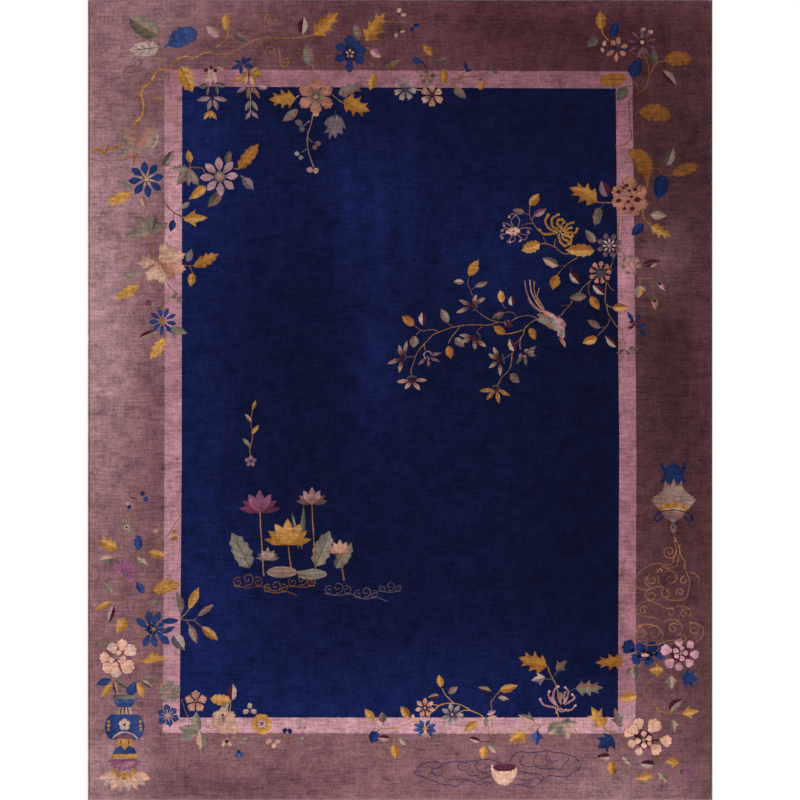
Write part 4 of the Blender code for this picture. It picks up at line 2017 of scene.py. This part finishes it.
# Painted light and shade on the figures: each row lightens them round a place, or darkens them where the
# amount is below 0.
PAINTED_LIGHT_ON_FIGURES = rows("""
middle reaches paler
0,-340 330,110 0.2
-300,-60 60,300 0.06
-245,385 70,36 0.28
0,345 190,90 -0.14
275,270 80,150 -0.38
""")


def painted_light_at(points):
    """The factor of painted light on the figures at each place: above 1 lighter, below 1 darker."""
    lighter = np.zeros(len(points))
    for (x, y), (reach_x, reach_y), amount in PAINTED_LIGHT_ON_FIGURES:
        lighter += amount * np.exp(-((points[:, 0] - x) / reach_x) ** 2 - ((points[:, 1] - y) / reach_y) ** 2)
    return np.exp(lighter)[:, None]


GROOVE_PAINTED_SHADE = 0.72
RIM_PAINTED_LIGHT = 1.15
RIM_WIDTH = 0.004


def corner_colours(points, owners):
    """Linear colours for chart places, each on the patch numbered in owners."""
    colours = np.ones((len(points), 4))
    for ground in (BORDER, BAND, FIELD):
        here = owners == ground
        colours[here, :3] = ground_colour(ground, points[here, 0], points[here, 1])
    start = np.array([[0, 0, 0]] * 3 + [LINEAR[dye] for _, dye, _, _, _ in patches])
    end = np.array([[0, 0, 0]] * 3 + [LINEAR[end_dye] for _, _, end_dye, _, _ in patches])
    runs = np.array([((0, 0), (1, 0))] * 3 + [run or ((0, 0), (1, 0)) for *_, run, _ in patches], float)
    drawn = owners > FIELD
    owner = owners[drawn]
    along = runs[owner, 1] - runs[owner, 0]
    share = ((points[drawn] - runs[owner, 0]) * along).sum(1) / np.maximum((along ** 2).sum(1), 1e-9)
    share = np.clip(share, 0, 1)[:, None]
    colours[drawn, :3] = (start[owner] * (1 - share) + end[owner] * share) * painted_light_at(points[drawn])
    return colours


corner_points = chart[triangles].reshape(-1, 2)
corner_dyes = corner_colours(corner_points, np.repeat(top_patch, 3))
# Painted shade: a motif's corners next to a groove are made darker, for the shade that falls into the cut
# groove.
at_groove = (lowest_motif != highest_motif)[triangles]
has_middle = np.zeros(len(outlines), bool)
has_middle[top_patch[~at_groove.all(1)]] = True
darker = (at_groove & has_middle[top_patch][:, None] & (top_patch > FIELD)[:, None]).ravel()
corner_dyes[darker, :3] *= GROOVE_PAINTED_SHADE
# Painted light: the pile within RIM_WIDTH of its edge is made lighter, against the shade on its rounded rim.
at_rim = (to_edge < RIM_WIDTH)[triangles].ravel()
corner_dyes[at_rim, :3] *= RIM_PAINTED_LIGHT
print("mean colour", corner_dyes[:, :3].mean(0).round(3))

# %% [markdown]
# ## Turning it over
#
# The back of a knotted rug shows the same drawing as the front. So the sheet is used
# twice: once as the pile and once, turned over and flat, as the back. The back also
# carries the wall of yarn that reaches up to the rim of the pile.

# %% Pile and back
def mesh_object(name, points, faces, colours):
    """A mesh object with smooth faces and a dye at each corner."""
    mesh = bpy.data.meshes.new(name)
    mesh.from_pydata([tuple(p) for p in points], [], [tuple(f) for f in faces])
    mesh.polygons.foreach_set("use_smooth", [True] * len(mesh.polygons))
    layer = mesh.color_attributes.new("dye", "FLOAT_COLOR", "CORNER")
    layer.data.foreach_set("color", np.asarray(colours, np.float32).ravel())
    mesh.update()
    made = bpy.data.objects.new(name, mesh)
    bpy.context.scene.collection.objects.link(made)
    return made


BACK_HEIGHT = 0.0004
# Painted shade: the wall of yarn up the rug's side takes the border dye made darker.
WALL_PAINTED_SHADE = (0.8, 0.8, 0.8, 1)
count = len(chart)
open_sides = {}
for a, b, c in triangles.tolist():
    for start, end in ((a, b), (b, c), (c, a)):
        if (end, start) in open_sides:
            del open_sides[(end, start)]
        else:
            open_sides[(start, end)] = True
rim_points = sorted({v for side in open_sides for v in side})
upper = {v: count + i for i, v in enumerate(rim_points)}
wall = [face for a, b in open_sides for face in ((a, b, upper[b]), (a, upper[b], upper[a]))]
back_chart = np.vstack((chart, chart[rim_points]))
wall_dyes = corner_colours(back_chart[np.array(wall).ravel()], np.zeros(3 * len(wall), int)) * WALL_PAINTED_SHADE
pile = mesh_object("knotted_pile", np.column_stack((chart * KNOT, height)), triangles, corner_dyes)
back = mesh_object(
    "knotted_back",
    np.column_stack((back_chart * KNOT, np.append(np.full(count, BACK_HEIGHT), height[rim_points]))),
    np.vstack((triangles[:, ::-1], wall)),
    np.vstack((corner_dyes.reshape(-1, 3, 4)[:, ::-1].reshape(-1, 4), wall_dyes)))
print(len(pile.data.polygons), "triangles of pile,", len(wall), "of wall")

# %% [markdown]
# ## Loose ends along the rim
#
# At the rim single tufts lean out of the pile and stop it from looking moulded. Each
# one is a small leaning cone of four sides.

# %% Rim tufts
TUFT_INSET = 0.0016
TUFT_SEED = 11


def tufts(name, seed):
    """Leaning cones along the rim, coloured like the border they stand in."""
    random.seed(seed)
    points, faces, corner_places = [], [], []
    for x, y in rim(TUFT_INSET):
        outward = Vector((0, math.copysign(1, y)))
        if abs(x) / pile_half_x > abs(y) / pile_half_y:
            outward = Vector((math.copysign(1, x), 0))
        for _ in range(2):
            cx = x * KNOT + random.uniform(-0.005, 0.005) * abs(outward.y)
            cy = y * KNOT + random.uniform(-0.005, 0.005) * abs(outward.x)
            radius = random.uniform(0.0011, 0.0017)
            foot = random.uniform(0.008, 0.0112)
            first = len(points)
            for i in range(4):
                angle = math.pi / 2 * (i + random.random() * 0.3)
                points.append((cx + radius * math.cos(angle), cy + radius * math.sin(angle), foot))
            lean = random.uniform(0.0002, 0.0012)
            tip = foot + random.uniform(0.0016, 0.0026)
            points.append((cx + outward.x * lean, cy + outward.y * lean, tip))
            faces += [(first + i, first + (i + 1) % 4, first + 4) for i in range(4)]
            corner_places += [(x, y)] * 12
    border = np.zeros(len(corner_places), int)
    return mesh_object(name, points, faces, corner_colours(np.array(corner_places), border))


rim_tufts = tufts("rim_tufts", TUFT_SEED)
print(len(rim_tufts.data.polygons), "triangles of tufts")

# %% [markdown]
# ## The corded sides
#
# Down each long side the outer warps are bound into a cord by yarn wound round and
# round. A plain tube would do from afar, but the turns show from close by, so the tube
# swells and narrows once for every turn, along a slanting line.

# %% Overcast cords
TURN_PITCH = 0.0035
ROUND_STEPS = 9
STEPS_PER_TURN = 4


def border_dyes(points, faces, tone_and_painted_light):
    """The border's own dye at each corner of the faces, times the tone and painted light of each point."""
    order = [v for face in faces for v in face]
    chart_places = np.array([points[v][:2] for v in order]) / KNOT
    colours = corner_colours(chart_places, np.zeros(len(order), int))
    return colours * np.array(tone_and_painted_light)[order, None] ** (1, 1, 1, 0)


def overcast_cord(name, node):
    """A wound cord in the place of the plain cord of the model."""
    low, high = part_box(node)
    middle, half = (low + high) / 2, (high - low) / 2
    rings = int((high.y - low.y) / TURN_PITCH * STEPS_PER_TURN)
    points, faces, tone_and_painted_light = [], [], []
    for ring in range(rings + 1):
        y = low.y + (high.y - low.y) * ring / rings
        end = min(1.0, 0.55 + min(ring, rings - ring) * 0.2)
        for step in range(ROUND_STEPS):
            angle = 2 * math.pi * step / ROUND_STEPS
            turn = y / TURN_PITCH + step / ROUND_STEPS
            swelling = abs(math.sin(math.pi * turn))
            bulge = 0.93 + 0.07 * swelling
            bulge *= 1 + 0.02 * noise.noise((middle.x * 40, y * 60, step))
            points.append((middle.x + half.x * bulge * end * math.cos(angle), y,
                           middle.z + half.z * bulge * end * math.sin(angle)))
            # The tone of each point: 1.25 is painted light that lifts the cord against the shade on its
            # sides, the noise is the yarn's own uneven tone, and the dip where the cord narrows between turns
            # is painted shade.
            tone_and_painted_light.append(1.25 + 0.2 * noise.noise((middle.x, y * 9, 3.0)) - 0.2 * (1 - swelling))
    for ring in range(rings):
        for step in range(ROUND_STEPS):
            a, b = ring * ROUND_STEPS + step, ring * ROUND_STEPS + (step + 1) % ROUND_STEPS
            faces.append((a, b, b + ROUND_STEPS, a + ROUND_STEPS))
    faces.append(tuple(range(ROUND_STEPS))[::-1])
    faces.append(tuple(rings * ROUND_STEPS + step for step in range(ROUND_STEPS)))
    faces = [face[::-1] for face in faces]
    return mesh_object(name, points, faces, border_dyes(points, faces, tone_and_painted_light))


cord_left = overcast_cord("overcast_cord_left", "selvedge_left")
cord_right = overcast_cord("overcast_cord_right", "selvedge_right")
print(len(cord_left.data.polygons), "faces in a cord")

# %% [markdown]
# ## The woven ends
#
# Before the first knot and after the last, the weaver wove a few rows of plain cloth.
# It is a narrow strip here, with the fringe turned under. Over and under is a small
# chequer of bumps.

# %% Plain woven strips
WARP_PITCH = 0.0022
WEB_HEIGHT = 0.0024
WEB_BUMP = 0.0005


def woven_strip(name, side):
    """A strip of plain weave at the end of the rug; side is 1 for the far end, -1 for the near one."""
    half_width = pile_half_x * KNOT - 0.0002
    columns = int(2 * half_width / WARP_PITCH) * 2
    inner, outer = pile_half_y * KNOT - 0.002, pile_half_y * KNOT + END_WEB - 0.0004
    profile = [(inner + (outer - inner) * i / 6, None) for i in range(7)]
    profile = [(inner, BACK_HEIGHT), *profile, (outer, BACK_HEIGHT)]
    points, faces = [], []
    for column in range(columns + 1):
        x = (column / columns * 2 - 1) * half_width
        for row, (y, z) in enumerate(profile):
            if z is None:
                over = 1 if (column // 2 + row) % 2 else -1
                z = WEB_HEIGHT + WEB_BUMP * over * (column % 2) - (WEB_BUMP if row in (1, 7) else 0)
            y += 0.0003 * noise.noise((x * 30, row * 0.1, side))
            points.append((x, side * y, z))
    across = len(profile)
    for column in range(columns):
        for row in range(across - 1):
            a = column * across + row
            faces.append((a, a + across, a + across + 1, a + 1)[::side])
    return mesh_object(name, points, faces, border_dyes(points, faces, [1.1] * len(points)))


web_far = woven_strip("woven_end_far", 1)
web_near = woven_strip("woven_end_near", -1)
print(len(web_near.data.polygons), "faces in a woven end")

# %% [markdown]
# ## What wool looks like
#
# Wool is matt, with a soft bloom where light grazes the fibre ends, which the sheen of
# the shader stands for. The tone of the yarn varies at three sizes: knot by knot, in
# faint lines across and along the rug where rows and warps show, and in patches of
# a hand's width. One node group makes all three, so that every piece can share it.

# %% Node group: tone of hand-dyed wool
def add_node(tree, kind, values=(), **settings):
    """A node with named settings and input values."""
    node = tree.nodes.new(kind)
    for name, value in settings.items():
        setattr(node, name, value)
    for name, value in values:
        node.inputs[name].default_value = value
    return node


def new_group(name, inputs, outputs):
    """An empty node group with named sockets."""
    group = bpy.data.node_groups.new(name, "ShaderNodeTree")
    for socket, kind, value in inputs:
        made = group.interface.new_socket(socket, in_out="INPUT", socket_type=kind)
        if value is not None:
            made.default_value = value
    for socket, kind in outputs:
        group.interface.new_socket(socket, in_out="OUTPUT", socket_type=kind)
    return group, group.nodes.new("NodeGroupInput"), group.nodes.new("NodeGroupOutput")


def math_node(tree, operation, a, b):
    """Two values, or links, joined by a Math node."""
    node = add_node(tree, "ShaderNodeMath", operation=operation)
    for slot_number, value in enumerate((a, b)):
        if isinstance(value, (int, float)):
            node.inputs[slot_number].default_value = value
        else:
            tree.links.new(value, node.inputs[slot_number])
    return node.outputs[0]


def noise_value(tree, place, scale, detail, roughness, normalize=False):
    """The value of a noise texture at a place; not normalized, it swings round 0."""
    values = (("Scale", scale), ("Detail", detail), ("Roughness", roughness))
    node = add_node(tree, "ShaderNodeTexNoise", values, normalize=normalize)
    tree.links.new(place, node.inputs["Vector"])
    return node.outputs[0]


def centred(tree, value, strength):
    """A 0-1 value turned into 1 minus half strength to 1 plus half strength."""
    offset = math_node(tree, "SUBTRACT", value, 0.5)
    return math_node(tree, "ADD", math_node(tree, "MULTIPLY", offset, strength), 1.0)


wool_tone, given, handed = new_group(
    "wool_tone",
    (("Place", "NodeSocketVector", None), ("Dye", "NodeSocketColor", None), ("Fleck", "NodeSocketFloat", 0.1),
     ("Rows", "NodeSocketFloat", 0.1), ("Patches", "NodeSocketFloat", 0.2)),
    (("Colour", "NodeSocketColor"),))
links = wool_tone.links
knots = add_node(wool_tone, "ShaderNodeTexVoronoi", (("Scale", 1 / KNOT), ("Randomness", 0.7)))
links.new(given.outputs["Place"], knots.inputs["Vector"])
knot_value = add_node(wool_tone, "ShaderNodeSeparateColor")
links.new(knots.outputs["Color"], knot_value.inputs["Color"])
across = add_node(wool_tone, "ShaderNodeMapping", (("Scale", (10.0, 130.0, 10.0)),))
along = add_node(wool_tone, "ShaderNodeMapping", (("Scale", (110.0, 9.0, 9.0)),))
streaks = []
for stretch in (across, along):
    links.new(given.outputs["Place"], stretch.inputs["Vector"])
    streaks.append(noise_value(wool_tone, stretch.outputs["Vector"], 1.0, 2.0, 0.7))
weave = math_node(wool_tone, "ADD", streaks[0], math_node(wool_tone, "MULTIPLY", streaks[1], 0.5))
cloudy = noise_value(wool_tone, given.outputs["Place"], 12.0, 4.0, 0.9)
drift = math_node(wool_tone, "ADD", math_node(wool_tone, "MULTIPLY", weave, given.outputs["Rows"]),
                  math_node(wool_tone, "MULTIPLY", cloudy, given.outputs["Patches"]))
tone = math_node(wool_tone, "MULTIPLY", centred(wool_tone, knot_value.outputs["Red"], given.outputs["Fleck"]),
                 math_node(wool_tone, "MAXIMUM", math_node(wool_tone, "ADD", drift, 1.0), 0.15))
toned = add_node(wool_tone, "ShaderNodeVectorMath", operation="SCALE")
links.new(given.outputs["Dye"], toned.inputs[0])
links.new(tone, toned.inputs["Scale"])
links.new(toned.outputs[0], handed.inputs["Colour"])
print("group", wool_tone.name, "has", len(wool_tone.nodes), "nodes")

# %% [markdown]
# ## The nap
#
# Thousands of cut fibre ends catch the light one by one. They are too small to model,
# so a bump made of one dome for each knot and a finer fibre grain stands for them.

# %% Node group: height of the nap
nap, given, handed = new_group(
    "wool_nap", (("Place", "NodeSocketVector", None),), (("Height", "NodeSocketFloat"),))
domes = add_node(nap, "ShaderNodeTexVoronoi", (("Scale", 1 / KNOT), ("Randomness", 0.7)))
nap.links.new(given.outputs["Place"], domes.inputs["Vector"])
fibres = noise_value(nap, given.outputs["Place"], 900.0, 2.0, 0.6, normalize=True)
dome = math_node(nap, "SUBTRACT", 1.0, domes.outputs["Distance"])
grain = math_node(nap, "MULTIPLY", fibres, 0.6)
nap.links.new(math_node(nap, "ADD", dome, grain), handed.inputs["Height"])
print("group", nap.name, "has", len(nap.nodes), "nodes")


# %% Wool materials
def wool(name, fleck, row_tone, mottle, bump_height):
    """A matt wool material that reads the dye of each corner."""
    material = bpy.data.materials.new(name)
    material.use_nodes = True
    tree = material.node_tree
    shader = tree.nodes["Principled BSDF"]
    shader.inputs["Roughness"].default_value = 0.92
    shader.inputs["Specular IOR Level"].default_value = 0.04
    shader.inputs["Sheen Weight"].default_value = 0.02
    shader.inputs["Sheen Roughness"].default_value = 0.5
    place = add_node(tree, "ShaderNodeTexCoord")
    tone_node = add_node(tree, "ShaderNodeGroup", node_tree=wool_tone)
    for socket, value in (("Fleck", fleck), ("Rows", row_tone), ("Patches", mottle)):
        tone_node.inputs[socket].default_value = value
    dye = add_node(tree, "ShaderNodeVertexColor", layer_name="dye")
    tree.links.new(dye.outputs["Color"], tone_node.inputs["Dye"])
    nap_node = add_node(tree, "ShaderNodeGroup", node_tree=nap)
    bump = add_node(tree, "ShaderNodeBump", (("Strength", 0.6), ("Distance", bump_height)))
    for node in (tone_node, nap_node):
        tree.links.new(place.outputs["Object"], node.inputs["Place"])
    tree.links.new(tone_node.outputs["Colour"], shader.inputs["Base Color"])
    tree.links.new(nap_node.outputs["Height"], bump.inputs["Height"])
    tree.links.new(bump.outputs["Normal"], shader.inputs["Normal"])
    return material


pile_wool = wool("knotted_wool", 0.34, 0.26, 0.24, 0.0012)
cord_wool = wool("cord_wool", 0.2, 0.1, 0.2, 0.0006)
web_wool = wool("web_wool", 0.2, 0.1, 0.2, 0.0004)
for material, pieces in (
    (pile_wool, (pile, back, rim_tufts)),
    (cord_wool, (cord_left, cord_right)),
    (web_wool, (web_far, web_near)),
):
    for made in pieces:
        made.data.materials.append(material)
print("materials", [m.name for m in (pile_wool, cord_wool, web_wool)])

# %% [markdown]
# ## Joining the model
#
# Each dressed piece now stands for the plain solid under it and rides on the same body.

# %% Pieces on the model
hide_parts("knotted_rug")
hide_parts("knotted_rug")
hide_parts("selvedge_left")
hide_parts("selvedge_right")
for slot_name, pieces in (
    ("pile_wool", (pile, back, rim_tufts, web_far, web_near)),
    ("selvedge_wool", (cord_left, cord_right)),
):
    for made in pieces:
        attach(made, "root")
floor_mesh = bpy.data.meshes.new("floor")
floor_mesh.from_pydata([(-9, -9, 0), (9, -9, 0), (9, 9, 0), (-9, 9, 0)], [], [(0, 1, 2, 3)])
floor = bpy.data.objects.new("floor", floor_mesh)
bpy.context.scene.collection.objects.link(floor)
print("declared", pile.name)

# %% [markdown]
# ## Floor, light and camera
#
# The rug lies on a plain white floor under a wide soft light, and the camera looks
# straight down from far above, so that its sides stay parallel.

# %% Stage
floor_paint = bpy.data.materials.new("floor_paint")
floor_paint.use_nodes = True
floor_shader = floor_paint.node_tree.nodes["Principled BSDF"]
floor_shader.inputs["Base Color"].default_value = (0.97, 0.97, 0.97, 1)
floor_shader.inputs["Roughness"].default_value = 0.9
floor_mesh.materials.append(floor_paint)

scene = bpy.context.scene
scene.view_settings.view_transform = "Standard"
world = bpy.data.worlds.new("studio")
world.use_nodes = True
world.node_tree.nodes["Background"].inputs["Color"].default_value = (1, 1, 1, 1)
world.node_tree.nodes["Background"].inputs["Strength"].default_value = 0.62
scene.world = world
lamp = bpy.data.lights.new("soft_sun", "SUN")
lamp.energy = 1.7
lamp.angle = math.radians(50)
sun = bpy.data.objects.new("soft_sun", lamp)
sun.rotation_euler = (math.radians(24), math.radians(-18), 0)
scene.collection.objects.link(sun)

CAMERA_DISTANCE = 9.742
lens = bpy.data.cameras.new("overhead")
lens.lens = 100
lens.sensor_width = 36
camera = bpy.data.objects.new("overhead", lens)
camera.location = (0, 0, PILE_TOP + CAMERA_DISTANCE)
scene.collection.objects.link(camera)
scene.camera = camera
print("camera", CAMERA_DISTANCE, "m above the pile")
